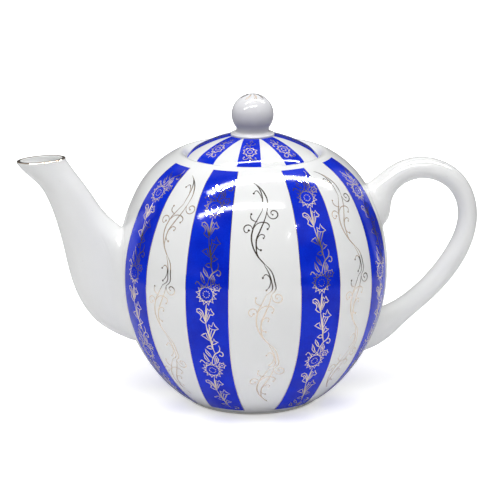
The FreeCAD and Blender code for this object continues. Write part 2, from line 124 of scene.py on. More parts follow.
class Net:
    """The node tree of one material or of the world."""

    def __init__(self, tree: bpy.types.NodeTree) -> None:
        """Start from an empty tree."""
        self.tree = tree
        tree.nodes.clear()

    def node(self, kind: str, settings: dict | None = None, inputs: dict | None = None,
             out: int | str = 0) -> Sock:
        """Add one node.

        Args:
            kind: the node's type.
            settings: properties that are set first; "stops" are a ramp's places and colours.
            inputs: values or links of its sockets, by name or number.
            out: the output that is returned.

        Returns:
            That output as a shader value.
        """
        node = self.tree.nodes.new(kind)
        for name, value in (settings or {}).items():
            if name == "stops":
                self.stops(node.color_ramp, value)
            else:
                setattr(node, name, value)
        for name, value in (inputs or {}).items():
            if isinstance(value, Sock):
                self.tree.links.new(value.out, node.inputs[name])
            else:
                node.inputs[name].default_value = value
        return Sock(self, node.outputs[out] if len(node.outputs) else None)

    @staticmethod
    def stops(ramp: bpy.types.ColorRamp, stops: Sequence[tuple[float, Sequence[float]]]) -> None:
        """Set a ramp's places and colours.

        Args:
            ramp: the ramp.
            stops: each stop's place and colour.
        """
        while len(ramp.elements) < len(stops):
            ramp.elements.new(1.0)
        for element, (place, colour) in zip(ramp.elements, stops):
            element.position = place
            element.color = (*colour, 1.0)

    def mix(self, factor: "float | Sock", first: "Colour | Sock", second: "Colour | Sock") -> Sock:
        """Blend two colours."""
        return self.node("ShaderNodeMix", {"data_type": "RGBA"}, {0: factor, 6: first, 7: second}, out=2)

    def parts(self, where: Sock) -> list[Sock]:
        """The three coordinates of a point or a direction."""
        return [self.node("ShaderNodeSeparateXYZ", {}, {0: where}, out=i) for i in range(3)]

    def bump(self, height: Sock, strength: float, depth: float) -> Sock:
        """Normal of a surface that a value raises by up to a depth in metres."""
        return self.node("ShaderNodeBump", {}, {"Strength": strength, "Distance": depth, "Height": height})

    def ray(self, kind: str) -> Sock:
        """1 for one kind of ray, 0 for the others."""
        return self.node("ShaderNodeLightPath", out=f"Is {kind} Ray")

    def principled(self, **sockets: "float | Colour | Sock") -> Sock:
        """The main shader, with its sockets named by words joined with underscores."""
        return self.node("ShaderNodeBsdfPrincipled", {}, {k.replace("_", " "): v for k, v in sockets.items()})

    def surface(self, shader: Sock) -> None:
        """Join the last shader to the output."""
        self.node("ShaderNodeOutputMaterial", {}, {"Surface": shader})


@dataclass(frozen=True)
class Mottle:
    """Soft noise with a scale per metre, and the values between which it rises from 0 to 1, if any."""

    scale: float
    detail: float = 2.0
    rise: Pair | None = None

    def on(self, net: Net, where: Sock) -> Sock:
        """Add the noise to a material.

        Args:
            net: the material's nodes.
            where: Object coordinates.

        Returns:
            The noise, of about 0 to 1.
        """
        inputs = {"Vector": where, "Scale": self.scale, "Detail": self.detail}
        noise = net.node("ShaderNodeTexNoise", {}, inputs)
        return noise.step(*self.rise) if self.rise else noise


WAVES = Mottle(60.0)
WAVE_RELIEF: Pair = (0.35, 0.00022)


@dataclass(frozen=True)
class Finish:
    """A surface as it leaves the kiln; each kind paints its own nodes.

    A relief is a bump's strength and depth, and a gloss is a roughness and what each noise adds to it.
    """

    name: str
    slot: str

    def material(self) -> bpy.types.Material:
        """Material of this finish, made once.

        Returns:
            The material.
        """
        coat = bpy.data.materials.get(self.name)
        if coat is None:
            coat = bpy.data.materials.new(self.name)
            coat.use_nodes = True
            net = Net(coat.node_tree)
            net.surface(self.paint(net, net.node("ShaderNodeTexCoord", out="Object")))
        return coat

    def paint(self, net: Net, where: Sock) -> Sock:
        """Shader of this finish, which each kind gives."""
        raise NotImplementedError


@dataclass(frozen=True)
class Porcelain(Finish):
    """White porcelain under a clear glaze, bare on the foot's sole."""

    white: Colour = (0.80, 0.805, 0.80, 1.0)
    shade: Colour = (0.775, 0.78, 0.78, 1.0)
    bare: Colour = (0.70, 0.66, 0.58, 1.0)
    speck: Colour = (0.42, 0.38, 0.33, 1.0)
    sole: Pair = (0.0002, 0.0007)
    drift: Mottle = Mottle(28.0, 3.0, (0.35, 0.7))
    specks: Mottle = Mottle(900.0, 1.0, (0.79, 0.83))
    speck_depth: float = 0.35
    ripples: Mottle = Mottle(420.0)
    ripple_share: float = 0.12
    sheen: Mottle = Mottle(140.0)
    gloss: Pair = (0.075, 0.05)
    bare_gloss: float = 0.8
    shine: float = 0.5

    def tone(self, net: Net, where: Sock, height: Sock) -> Sock:
        """Cool white with a slight drift."""
        return net.mix(self.drift.on(net, where), self.white, self.shade)

    def paint(self, net: Net, where: Sock) -> Sock:
        """White with rare specks and a faintly wavy glaze.

        Args:
            net: the material's nodes.
            where: Object coordinates.

        Returns:
            The shader.
        """
        height = net.parts(where)[2]
        glazed = height.step(*self.sole)
        specks = self.specks.on(net, where) * self.speck_depth
        speckled = net.mix(specks, self.tone(net, where, height), self.speck)
        waves = WAVES.on(net, where) + self.ripples.on(net, where) * self.ripple_share
        gloss = self.gloss[0] + self.sheen.on(net, where) * self.gloss[1]
        return net.principled(
            Base_Color=net.mix(glazed, self.bare, speckled),
            Roughness=gloss * glazed + (1.0 - glazed) * self.bare_gloss,
            Normal=net.bump(waves, *WAVE_RELIEF), Specular_IOR_Level=self.shine)


@dataclass(frozen=True)
class ShadedKnobPorcelain(Porcelain):
    """Porcelain with painted shade on the knob: grey under the ball round its neck, with a faint painted
    bluish reflection of the lid.
    """

    shine: float = 0.2
    foot: float = 0.1336
    top: float = 0.1541
    # painted shade: places from the disc to the ball's top, and the grey painted at each
    painted_shade_stops: tuple[Pair, ...] = (
        (0.0, 0.80), (0.063, 0.80), (0.117, 0.46), (0.288, 0.34), (0.50, 0.51), (0.654, 0.64), (0.85, 0.74))
    # painted reflection: a power below 1 lifts blue, standing in for the cobalt lid mirrored in the ball
    painted_lid_reflection: float = 0.9

    def tone(self, net: Net, where: Sock, height: Sock) -> Sock:
        """White on the disc and lighter on top, with painted shade greyer between them and a bluish painted
        reflection of the lid.

        Args:
            net: the material's nodes.
            where: Object coordinates; not used.
            height: height over the table in metres.

        Returns:
            The colour.
        """
        # painted shade by height under the ball, tinted blue as a painted reflection of the lid
        rise = (height - self.foot) * (1.0 / (self.top - self.foot))
        stops = [(place, (grey, grey, grey ** self.painted_lid_reflection)) for place, grey in self.painted_shade_stops]
        return net.node("ShaderNodeValToRGB", {"stops": stops}, {0: rise})


@dataclass(frozen=True)
class CobaltGlaze(Finish):
    """Cobalt fired into the glaze, slightly mottled."""

    deep: Colour = (0.001, 0.014, 0.46, 1.0)
    bright: Colour = (0.002, 0.030, 0.66, 1.0)
    pools: Mottle = Mottle(70.0, 4.0, (0.3, 0.7))
    grain: Mottle = Mottle(1500.0, rise=(0.35, 0.75))
    shares: Pair = (0.7, 0.3)
    sheen: Mottle = Mottle(160.0)
    gloss: Pair = (0.07, 0.05)
    shine: float = 0.2

    def paint(self, net: Net, where: Sock) -> Sock:
        """Deep blue that pools and thins, with the glaze's gloss over it.

        Args:
            net: the material's nodes.
            where: Object coordinates.

        Returns:
            The shader.
        """
        thin = self.pools.on(net, where) * self.shares[0] + self.grain.on(net, where) * self.shares[1]
        return net.principled(
            Base_Color=net.mix(thin, self.deep, self.bright),
            Roughness=self.gloss[0] + self.sheen.on(net, where) * self.gloss[1],
            Normal=net.bump(WAVES.on(net, where), *WAVE_RELIEF), Specular_IOR_Level=self.shine)


@dataclass(frozen=True)
class Gilding(Finish):
    """Fired gold, soft in gloss and a little worn."""

    gold: Colour = (0.91, 0.78, 0.66, 1.0)
    worn: Colour = (0.78, 0.65, 0.52, 1.0)
    rubbing: Mottle = Mottle(240.0, 3.0, (0.38, 0.72))
    grain: Mottle = Mottle(5200.0)
    gloss: Triple = (0.035, 0.025, 0.01)
    relief: Pair = (0.06, 0.00002)

    def paint(self, net: Net, where: Sock) -> Sock:
        """Gold whose tone and gloss drift where it was rubbed.

        Args:
            net: the material's nodes.
            where: Object coordinates.

        Returns:
            The shader.
        """
        rubbed = self.rubbing.on(net, where)
        grain = self.grain.on(net, where)
        return net.principled(
            Base_Color=net.mix(rubbed, self.gold, self.worn), Metallic=1.0,
            Roughness=self.gloss[0] + rubbed * self.gloss[1] + grain * self.gloss[2],
            Normal=net.bump(grain, *self.relief))


@dataclass(frozen=True)
class Bisque(Finish):
    """Fired clay that the glaze doesn't reach, as behind the spout."""

    clay: Colour = (0.74, 0.71, 0.65, 1.0)
    stained: Colour = (0.55, 0.46, 0.34, 1.0)
    stains: Mottle = Mottle(130.0, 4.0, (0.5, 0.8))
    stain_depth: float = 0.5
    grain: Mottle = Mottle(2600.0)
    gloss: Pair = (0.6, 0.2)
    relief: Pair = (0.5, 0.00004)

    def paint(self, net: Net, where: Sock) -> Sock:
        """Matt cream with a fine grain, stained a little by tea.

        Args:
            net: the material's nodes.
            where: Object coordinates.

        Returns:
            The shader.
        """
        stain = self.stains.on(net, where) * self.stain_depth
        grain = self.grain.on(net, where)
        return net.principled(
            Base_Color=net.mix(stain, self.clay, self.stained),
            Roughness=self.gloss[0] + grain * self.gloss[1], Normal=net.bump(grain, *self.relief))


PORCELAIN = Porcelain("white_porcelain", "porcelain")
COBALT = CobaltGlaze("cobalt_under_glaze", "cobalt_glaze")
GOLD = Gilding("fired_gold", "gilding")
BISQUE = Bisque("unglazed_clay", "bisque")
# knob porcelain with painted shade and a painted lid reflection under its ball
KNOB_PAINTED_SHADE = ShadedKnobPorcelain("knob_porcelain_painted_shade", "porcelain")


def meshed(bm: bmesh.types.BMesh, name: str) -> bpy.types.Mesh:
    """Turn a bmesh into a mesh; the bmesh is freed.

    Args:
        bm: what was drawn.
        name: the mesh's name.

    Returns:
        The mesh.
    """
    mesh = bpy.data.meshes.new(name)
    bm.to_mesh(mesh)
    bm.free()
    return mesh


def linked(name: str, data: bpy.types.ID) -> bpy.types.Object:
    """Stand an object with the given data in the scene.

    Args:
        name: the object's name.
        data: its mesh, curve, lamp or camera.

    Returns:
        The object.
    """
    thing = bpy.data.objects.new(name, data)
    bpy.context.scene.collection.objects.link(thing)
    return thing


def worked_out(thing: bpy.types.Object) -> bpy.types.Mesh:
    """Mesh of an object once its curve or its modifiers are worked out."""
    graph = bpy.context.evaluated_depsgraph_get()
    return bpy.data.meshes.new_from_object(thing.evaluated_get(graph))


def made(bm: bmesh.types.BMesh, name: str) -> bpy.types.Object:
    """Turn a bmesh drawn in millimetres into an object at the origin; the bmesh is freed."""
    bmesh.ops.scale(bm, vec=(MM, MM, MM), verts=bm.verts)
    return linked(name, meshed(bm, name))


def dressed(piece: bpy.types.Object, finish: Finish, body: Body, crease: float = CREASE) -> bpy.types.Object:
    """Smooth a piece, give it its finish, and let it ride on its body.

    Args:
        piece: the piece, which is at the origin with its place in its mesh.
        finish: its surface.
        body: what it moves with.
        crease: angle in degrees above which an edge stays sharp.

    Returns:
        The piece.
    """
    mesh = piece.data
    mesh.shade_smooth()
    mesh.set_sharp_from_angle(angle=math.radians(crease))
    mesh.materials.clear()
    mesh.materials.append(finish.material())
    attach(piece, body.value)
    log.info("%s: %d faces, %s", piece.name, len(mesh.polygons), finish.name)
    return piece


@dataclass(frozen=True)
class Arc:
    """An arc of a half section: centre as radius and height, and the angles it runs between."""

    centre: Pair
    radius: float
    start: float
    end: float

    @property
    def length(self) -> float:
        """Length along the arc."""
        return abs(self.end - self.start) * self.radius

    def at(self, run: float) -> Triple:
        """Radius, height and outward angle after a run along the arc.

        Args:
            run: millimetres from the arc's start.

        Returns:
            The three, with the angle in radians.
        """
        angle = self.start + (self.end - self.start) * run / self.length
        return (self.centre[0] + self.radius * math.cos(angle),
                self.centre[1] + self.radius * math.sin(angle), angle)

    @classmethod
    def between(cls, centre: Pair, radius: float, start: Pair, end: Pair) -> "Arc":
        """Arc about a centre from the direction of one point to that of another."""
        angles = [math.atan2(p[1] - centre[1], p[0] - centre[0]) for p in (start, end)]
        return cls(centre, radius, *angles)

    def inset(self, wall: float = 0.0) -> "Arc":
        """The same arc inside a wall, run the other way."""
        return Arc(self.centre, self.radius - wall, self.end, self.start)


def tangent(centre: Pair, radius: float, inner: Pair, inner_radius: float) -> Pair:
    """Where an arc runs smoothly into a smaller one inside it."""
    reach = radius / (radius - inner_radius)
    return tuple(c + reach * (p - c) for c, p in zip(centre, inner))


@dataclass(frozen=True)
class Surface:
    """A turned outside that is followed from its upper edge down, as a place for ornament."""

    arcs: tuple[Arc, ...]

    def at(self, run: float) -> Triple:
        """Radius, height and outward angle at a run from the upper edge.

        Args:
            run: millimetres from the upper edge.

        Returns:
            The three, with the angle in radians.
        """
        for arc in self.arcs[:-1]:
            if run <= arc.length:
                return arc.at(run)
            run -= arc.length
        return self.arcs[-1].at(run)

    def place(self, run: float, turn: float, height: float) -> Vector:
        """Point on or over the surface.

        Args:
            run: millimetres from the upper edge.
            turn: degrees from the front towards the handle.
            height: millimetres off the surface.

        Returns:
            The point in millimetres.
        """
        radius, level, angle = self.at(run)
        reach = radius + height * math.cos(angle)
        around = math.radians(turn)
        return Vector((reach * math.sin(around), -reach * math.cos(around), level + height * math.sin(angle)))

    def lay(self, across: float, run: float, turn: float, height: float) -> Vector:
        """Point of a flat drawing laid on the surface about a meridian."""
        return self.place(run, turn + math.degrees(across / self.at(run)[0]), height)


class Pen:
    """Draws a half section with a moving vertex, and turns it once round the upright axis."""

    CLOSE = 0.0005
    FEWEST_STEPS = 4

    def __init__(self, start: Pair) -> None:
        """Put the pen down at a radius and height.

        Args:
            start: the two in millimetres.
        """
        self.bm = bmesh.new()
        self.tip = self.bm.verts.new((start[0], 0.0, start[1]))
        self.corners: list[tuple[bmesh.types.BMVert, float]] = []

    def line(self, *points: Pair, rounding: float = 0.0) -> None:
        """Draw straight runs, and note the rounding of the corners they start from.

        Args:
            *points: radius and height of each run's end.
            rounding: radius of the corners, or 0 for sharp ones.
        """
        for point in points:
            if rounding:
                self.corners.append((self.tip, rounding))
            self.tip = bmesh.ops.extrude_vert_indiv(self.bm, verts=[self.tip])["verts"][0]
            self.tip.co = (point[0], 0.0, point[1])

    def arc(self, arc: Arc, step: float = 2.0) -> None:
        """Swing the pen round an arc's centre in steps of about so many millimetres.

        Args:
            arc: the arc, which starts at the pen.
            step: length of a step.
        """
        steps = max(self.FEWEST_STEPS, round(arc.length / step))
        moved = bmesh.ops.spin(self.bm, geom=[self.tip], cent=(arc.centre[0], 0.0, arc.centre[1]),
                               axis=(0.0, -1.0, 0.0), angle=arc.end - arc.start, steps=steps)
        self.tip = next(part for part in moved["geom_last"] if isinstance(part, bmesh.types.BMVert))

    def turned(self, steps: int = 160) -> bmesh.types.BMesh:
        """Round the noted corners and turn the section once round; the mesh is closed.

        Args:
            steps: faces once round.

        Returns:
            The mesh in millimetres.
        """
        for corner, rounding in self.corners:
            bmesh.ops.bevel(self.bm, geom=[corner], offset=rounding, offset_type="OFFSET",
                            segments=self.FEWEST_STEPS, profile=0.5, affect="VERTICES", material=-1)
        bmesh.ops.spin(self.bm, geom=self.bm.verts[:] + self.bm.edges[:], cent=(0.0, 0.0, 0.0),
                       axis=(0.0, 0.0, 1.0), angle=math.tau, steps=steps, use_merge=True)
        bmesh.ops.remove_doubles(self.bm, verts=self.bm.verts, dist=self.CLOSE)
        bmesh.ops.recalc_face_normals(self.bm, faces=self.bm.faces)
        return self.bm


def pierced(piece: bpy.types.Object, radius: float, length: float, place: Matrix) -> None:
    """Drill a round hole through a piece, before it is dressed.

    Args:
        piece: the piece, which takes the drilled mesh.
        radius: the hole's radius in millimetres.
        length: the drill's length.
        place: where the drill's middle stands, in millimetres.
    """
    bm = bmesh.new()
    bmesh.ops.create_cone(bm, cap_ends=True, segments=DRILL_SIDES, radius1=radius, radius2=radius,
                          depth=length)
    bmesh.ops.transform(bm, matrix=Matrix.Scale(MM, 4) @ place, verts=bm.verts)
    core = meshed(bm, "drill")
    drill = linked("drill", core)
    cut = piece.modifiers.new("hole", "BOOLEAN")
    cut.object = drill
    cut.operation = "DIFFERENCE"
    cut.solver = "EXACT"
    bored = worked_out(piece)
    piece.modifiers.clear()
    old, piece.data = piece.data, bored
    bored.name = piece.name
    bpy.data.objects.remove(drill)
    for spent in (old, core):
        bpy.data.meshes.remove(spent)


@dataclass(frozen=True)
class Pot:
    """Thrown pot: foot ring, belly, shoulder, and the sunk gallery that carries the lid."""

    belly: Pair = (-16.8, 66.6)
    belly_arc: float = 84.0
    shoulder: Pair = (18.53, 85.36)
    shoulder_arc: float = 44.0
    base: Pair = (3.13, 49.84)
    base_arc: float = 58.0
    lip: Pair = (36.0, 122.45)
    lip_arc: float = 3.0
    shoulder_joint: Pair = (57.39, 106.0)
    base_joint: Pair = (47.54, 12.6)
    low: Pair = (34.8, 1.3)
    wall: float = 4.0
    foot: Pair = (29.5, 34.0)
    recess: float = 2.0
    floor: float = 5.5
    gallery: float = 33.0
    throat: float = 30.0
    seat: float = 121.45
    ledge: float = 3.6
    port_height: float = 58.0
    port_radius: float = 10.0
    drill: float = 20.0
    foot_rounding: float = 0.7
    low_rounding: float = 0.35
    seat_rounding: float = 0.5
    throat_rounding: float = 0.8
    rim_step: float = 0.6
    hollow_step: float = 3.0
    feel: float = 0.05

    @property
    def lip_joint(self) -> Pair:
        """Where the shoulder's arc runs into the rounded rim."""
        return tangent(self.shoulder, self.shoulder_arc, self.lip, self.lip_arc)

    def outside(self) -> Surface:
        """Rim, shoulder, belly and base, from the rim's top down to the foot.

        Returns:
            The surface in millimetres.
        """
        top = (self.lip[0], self.lip[1] + self.lip_arc)
        return Surface((
            Arc.between(self.lip, self.lip_arc, top, self.lip_joint),
            Arc.between(self.shoulder, self.shoulder_arc, self.lip_joint, self.shoulder_joint),
            Arc.between(self.belly, self.belly_arc, self.shoulder_joint, self.base_joint),
            Arc.between(self.base, self.base_arc, self.base_joint, self.low)))

    def clearance(self, point: Vector) -> float:
        """Distance of a point outside the pot's surface, below 0 inside it.

        Args:
            point: the point in millimetres.

        Returns:
            The distance in millimetres.
        """
        across = math.hypot(point.x, point.y)
        swing = math.atan2(point.z - self.belly[1], across - self.belly[0])
        belly = self.outside().arcs[2]
        centre, radius = self.belly, self.belly_arc
        if swing > belly.start:
            centre, radius = self.shoulder, self.shoulder_arc
        elif swing < belly.end:
            centre, radius = self.base, self.base_arc
        return math.hypot(across - centre[0], point.z - centre[1]) - radius

    def outward(self, point: Vector) -> Vector:
        """Direction straight out of the pot's surface near a point.

        Args:
            point: the point in millimetres.

        Returns:
            The direction, with a length of 1.
        """
        here = self.clearance(point)
        rises = [self.clearance(point + self.feel * axis) - here for axis in Matrix.Identity(3)]
        return Vector(rises).normalized()

    def build(self) -> None:
        """Turn the pot's half section and drill the port behind the spout."""
        rim, shoulder, belly, base = self.outside().arcs
        inner_foot, outer_foot = self.foot
        under = self.seat - self.ledge
        pen = Pen((0.0, self.recess))
        pen.line((inner_foot, self.recess))
        foot = ((inner_foot, 0.0), (outer_foot, 0.0), (outer_foot, self.low[1]))
        pen.line(*foot, rounding=self.foot_rounding)
        pen.line(self.low, rounding=self.low_rounding)
        for arc in (base, belly, shoulder):
            pen.arc(arc.inset())
        pen.arc(Arc(self.lip, self.lip_arc, rim.end, math.pi), self.rim_step)
        pen.line((self.gallery, self.seat))
        pen.line((self.throat, self.seat), (self.throat, under), rounding=self.seat_rounding)
        hollow = shoulder.inset(self.wall)
        level = math.asin((under - self.shoulder[1]) / hollow.radius)
        meet = Arc(hollow.centre, hollow.radius, level, hollow.start)
        deep = base.radius - self.wall
        sunk = math.asin((self.floor - base.centre[1]) / deep)
        pen.line(meet.at(0.0)[:2], rounding=self.throat_rounding)
        for arc in (meet, Arc(belly.centre, belly.radius - self.wall, belly.start, belly.end),
                    Arc(base.centre, deep, base.start, sunk)):
            pen.arc(arc, self.hollow_step)
        pen.line((0.0, self.floor))
        pot = made(pen.turned(), "pot")
        turn = Matrix.Rotation(math.pi / 2, 4, "Y")
        port = Matrix.Translation((self.wall - self.belly[0] - self.belly_arc, 0.0, self.port_height))
        pierced(pot, self.port_radius, self.drill, port @ turn)
        dressed(pot, PORCELAIN, Body.POT)
        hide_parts("pot_body")


@dataclass(frozen=True)
class Lid:
    """Domed lid with a rounded brim, a locating skirt and a vent, and its ball knob."""

    cap: Pair = (0.0, 79.676)
    cap_arc: float = 55.0
    edge: Pair = (20.554, 115.152)
    edge_arc: float = 14.0
    brim: Pair = (32.5, Pot.lip[1])
    seat: float = Pot.seat
    lid_wall: float = 3.3
    skirt: Pair = (26.5, 29.5)
    skirt_foot: float = 109.95
    land: Pair = (10.75, 133.616)
    vent_radius: float = 1.2
    vent_offset: float = 17.5
    disc_rise: float = 1.2
    neck: float = 8.05
    ball_height: float = 143.816
    ball_radius: float = 10.3
    ball_end: float = -0.6
    drill: float = 40.0
    skirt_rounding: float = 1.0
    seat_rounding: float = 0.4
    brim_rounding: float = 0.3
    neck_rounding: float = 1.1
    lid_sides: int = 144
    knob_sides: int = 96
    edge_step: float = 0.8
    crown_step: float = 1.5
    disc_step: float = 0.3
    ball_step: float = 0.7

    @property
    def joint(self) -> Pair:
        """Where the crown of the dome runs into its rounded shoulder."""
        return tangent(self.cap, self.cap_arc, self.edge, self.edge_arc)

    def outside(self) -> Surface:
        """Dome from the knob's disc out to the brim."""
        return Surface((Arc.between(self.cap, self.cap_arc, self.land, self.joint),
                        Arc.between(self.edge, self.edge_arc, self.joint, self.brim)))

    def ball(self) -> Surface:
        """Knob's ball from its top down."""
        return Surface((Arc((0.0, self.ball_height), self.ball_radius, math.pi / 2, self.ball_end),))

    def build(self) -> None:
        """Turn the lid and its knob."""
        crown, shoulder = self.outside().arcs
        hollow = self.cap_arc - self.lid_wall
        inner, outer = self.skirt
        pen = Pen((0.0, self.cap[1] + hollow))
        pen.arc(Arc(self.cap, hollow, math.pi / 2, math.acos(inner / hollow)))
        pen.line((inner, self.skirt_foot))
        pen.line((outer, self.skirt_foot), (outer, self.seat), rounding=self.skirt_rounding)
        pen.line((self.brim[0], self.seat), rounding=self.seat_rounding)
        pen.line(self.brim, rounding=self.brim_rounding)
        pen.arc(shoulder.inset(), self.edge_step)
        pen.arc(crown.inset(), self.crown_step)
        pen.line((0.0, self.land[1]))
        lid = made(pen.turned(self.lid_sides), "lid_dome")
        vent = Matrix.Translation((0.0, self.vent_offset, self.brim[1]))
        pierced(lid, self.vent_radius, self.drill, vent)
        dressed(lid, PORCELAIN, Body.LID)
        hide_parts("lid")
        self.build_knob()

    def build_knob(self) -> None:
        """Turn the ball knob on its thin disc."""
        half = self.disc_rise / 2
        rim = self.land[0] - half
        low = self.land[1]
        lean = math.acos(self.neck / self.ball_radius)
        pen = Pen((0.0, low))
        pen.line((rim, low))
        pen.arc(Arc((rim, low + half), half, -math.pi / 2, math.pi / 2), self.disc_step)
        pen.line((self.neck, low + self.disc_rise))
        under = self.ball_height - self.ball_radius * math.sin(lean)
        pen.line((self.neck, under), rounding=self.neck_rounding)
        pen.arc(Arc((0.0, self.ball_height), self.ball_radius, -lean, math.pi / 2), self.ball_step)
        # the knob's porcelain carries painted shade and a painted lid reflection under the ball
        knob = dressed(made(pen.turned(self.knob_sides), "knob"), KNOB_PAINTED_SHADE, Body.LID)
        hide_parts("lid_knob")


class Spline:
    """Smooth curve through rows of numbers, spaced by the distances between their middles."""

    def __init__(self, rows: Sequence[Sequence[float]]) -> None:
        """Work out the curve's bends once.

        Args:
            rows: the rows, each with its middle's two coordinates first.
        """
        self.rows = np.array(rows, dtype=float)
        gaps = np.linalg.norm(np.diff(self.rows[:, :2], axis=0), axis=1)
        self.knots = np.concatenate(([0.0], np.cumsum(gaps)))
        count = len(self.rows)
        left = np.eye(count)
        right = np.zeros_like(self.rows)
        slopes = np.diff(self.rows, axis=0) / gaps[:, None]
        for i in range(1, count - 1):
            left[i, i - 1:i + 2] = gaps[i - 1], 2 * (gaps[i - 1] + gaps[i]), gaps[i]
            right[i] = 6 * (slopes[i] - slopes[i - 1])
        self.bends = np.linalg.solve(left, right)

    @property
    def length(self) -> float:
        """Distance from the first row to the last."""
        return float(self.knots[-1])

    def at(self, run: float) -> np.ndarray:
        """Row at a distance from the first one.

        Args:
            run: the distance.

        Returns:
            The row's numbers.
        """
        i = min(max(bisect.bisect_right(self.knots, run) - 1, 0), len(self.rows) - 2)
        gap = self.knots[i + 1] - self.knots[i]
        b = (run - self.knots[i]) / gap
        a = 1.0 - b
        return (a * self.rows[i] + b * self.rows[i + 1]
                + ((a ** 3 - a) * self.bends[i] + (b ** 3 - b) * self.bends[i + 1]) * gap ** 2 / 6)


class OvalSection(NamedTuple):
    """One oval across the spout or the handle, placed from the belly's widest ring."""

    out: float
    up: float
    slope: float
    depth: float
    width: float


@dataclass
class Limb:
    """A piece of oval sections that is luted on the pot: the spout or the handle."""

    pot: Pot
    side: float
    sections: tuple[OvalSection, ...]
    sides: int = 56
    rings: int = 84
    sunk: float = -0.25
    notch_fillet: float = 1.2
    paces: int = 120
    halvings: int = 40
    curve: Spline = field(init=False)
    belly: Pair = field(init=False)

    def __post_init__(self) -> None:
        """Lay the curve through the sections, and find the belly's widest ring."""
        self.curve = Spline(self.sections)
        self.belly = (self.pot.belly[0] + self.pot.belly_arc, self.pot.belly[1])

    def point(self, run: float, angle: float, wall: float = 0.0) -> Vector:
        """Point of the oval at a run along the piece.

        Args:
            run: distance along the sections.
            angle: round the oval, 0 on its outer end.
            wall: how far the oval is drawn in.

        Returns:
            The point in millimetres.
        """
        out, up, slope, depth, width = self.curve.at(run)
        deep = (depth / 2 - wall) * math.cos(angle)
        lean = math.radians(slope)
        return Vector((self.side * (self.belly[0] + out + deep * math.cos(lean)),
                       (width / 2 - wall) * math.sin(angle),
                       self.belly[1] + up + self.side * deep * math.sin(lean)))

    def angles(self) -> list[float]:
        """Even steps round the oval."""
        return [math.tau * i / self.sides for i in range(self.sides)]

    def sinks(self, run: float, angle: float, wall: float) -> bool:
        """Whether a point of the piece lies in the pot's wall."""
        return self.pot.clearance(self.point(run, angle, wall)) < self.sunk

    def root(self, angle: float, wall: float, start: float, end: float) -> float:
        """Run at which a line along the piece sinks into the pot, found by paces and then by halving.

        Args:
            angle: where the line lies round the oval.
            wall: how far the oval is drawn in.
            start: a run outside the pot.
            end: the run towards which the pot lies.

        Returns:
            The last run outside the pot's wall.
        """
        inside = outside = start
        for i in range(self.paces + 1):
            inside = start + (end - start) * i / self.paces
            if self.sinks(inside, angle, wall):
                break
            outside = inside
        for _ in range(self.halvings):
            middle = (inside + outside) / 2
            if self.sinks(middle, angle, wall):
                inside = middle
            else:
                outside = middle
        return outside

    def softness(self, fillet: float, angle: float) -> float:
        """Radius of the hollow at a root, which is smaller in the notch than on the flanks."""
        return self.notch_fillet + (fillet - self.notch_fillet) * math.sin(angle) ** 2

    def flared(self, run: float, angle: float, fillet: float) -> Vector:
        """Point of the piece, spread outwards near the pot so that the joint is a soft hollow.

        Args:
            run: distance along the sections.
            angle: round the oval.
            fillet: radius of the hollow.

        Returns:
            The moved point.
        """
        point = self.point(run, angle)
        gap = max(self.pot.clearance(point), 0.0)
        if gap >= fillet:
            return point
        out, up = self.curve.at(run)[:2]
        heart = Vector((self.side * (self.belly[0] + out), 0.0, self.belly[1] + up))
        normal = self.pot.outward(point)
        away = point - heart
        away = (away - away.dot(normal) * normal).normalized()
        return point + away * (fillet - math.sqrt(fillet ** 2 - (fillet - gap) ** 2))

    def ring(self, bm: bmesh.types.BMesh, places: Sequence[Vector]) -> list[bmesh.types.BMEdge]:
        """Add a round loop and move its corners to the given places.

        Args:
            bm: the mesh it is added to.
            places: a place for each corner.

        Returns:
            The loop's edges.
        """
        corners = bmesh.ops.create_circle(bm, segments=self.sides, radius=1.0)["verts"]
        for vert, place in zip(corners, places):
            vert.co = place
        return list({edge for vert in corners for edge in vert.link_edges})

    def skinned(self, rows: Sequence[Sequence[Vector]], closed: bool) -> bmesh.types.BMesh:
        """Bridge loops of points into one closed skin.

        Args:
            rows: the loops in order.
            closed: whether the last loop joins the first; otherwise both ends are filled.

        Returns:
            The mesh, with its faces outwards.
        """
        bm = bmesh.new()
        loops = [self.ring(bm, row) for row in rows]
        pairs = list(zip(loops, loops[1:]))
        if closed:
            pairs.append((loops[-1], loops[0]))
        for first, second in pairs:
            bmesh.ops.bridge_loops(bm, edges=first + second)
        if not closed:
            for loop in (loops[0], loops[-1]):
                bmesh.ops.contextual_create(bm, geom=loop)
        bmesh.ops.recalc_face_normals(bm, faces=bm.faces)
        return bm


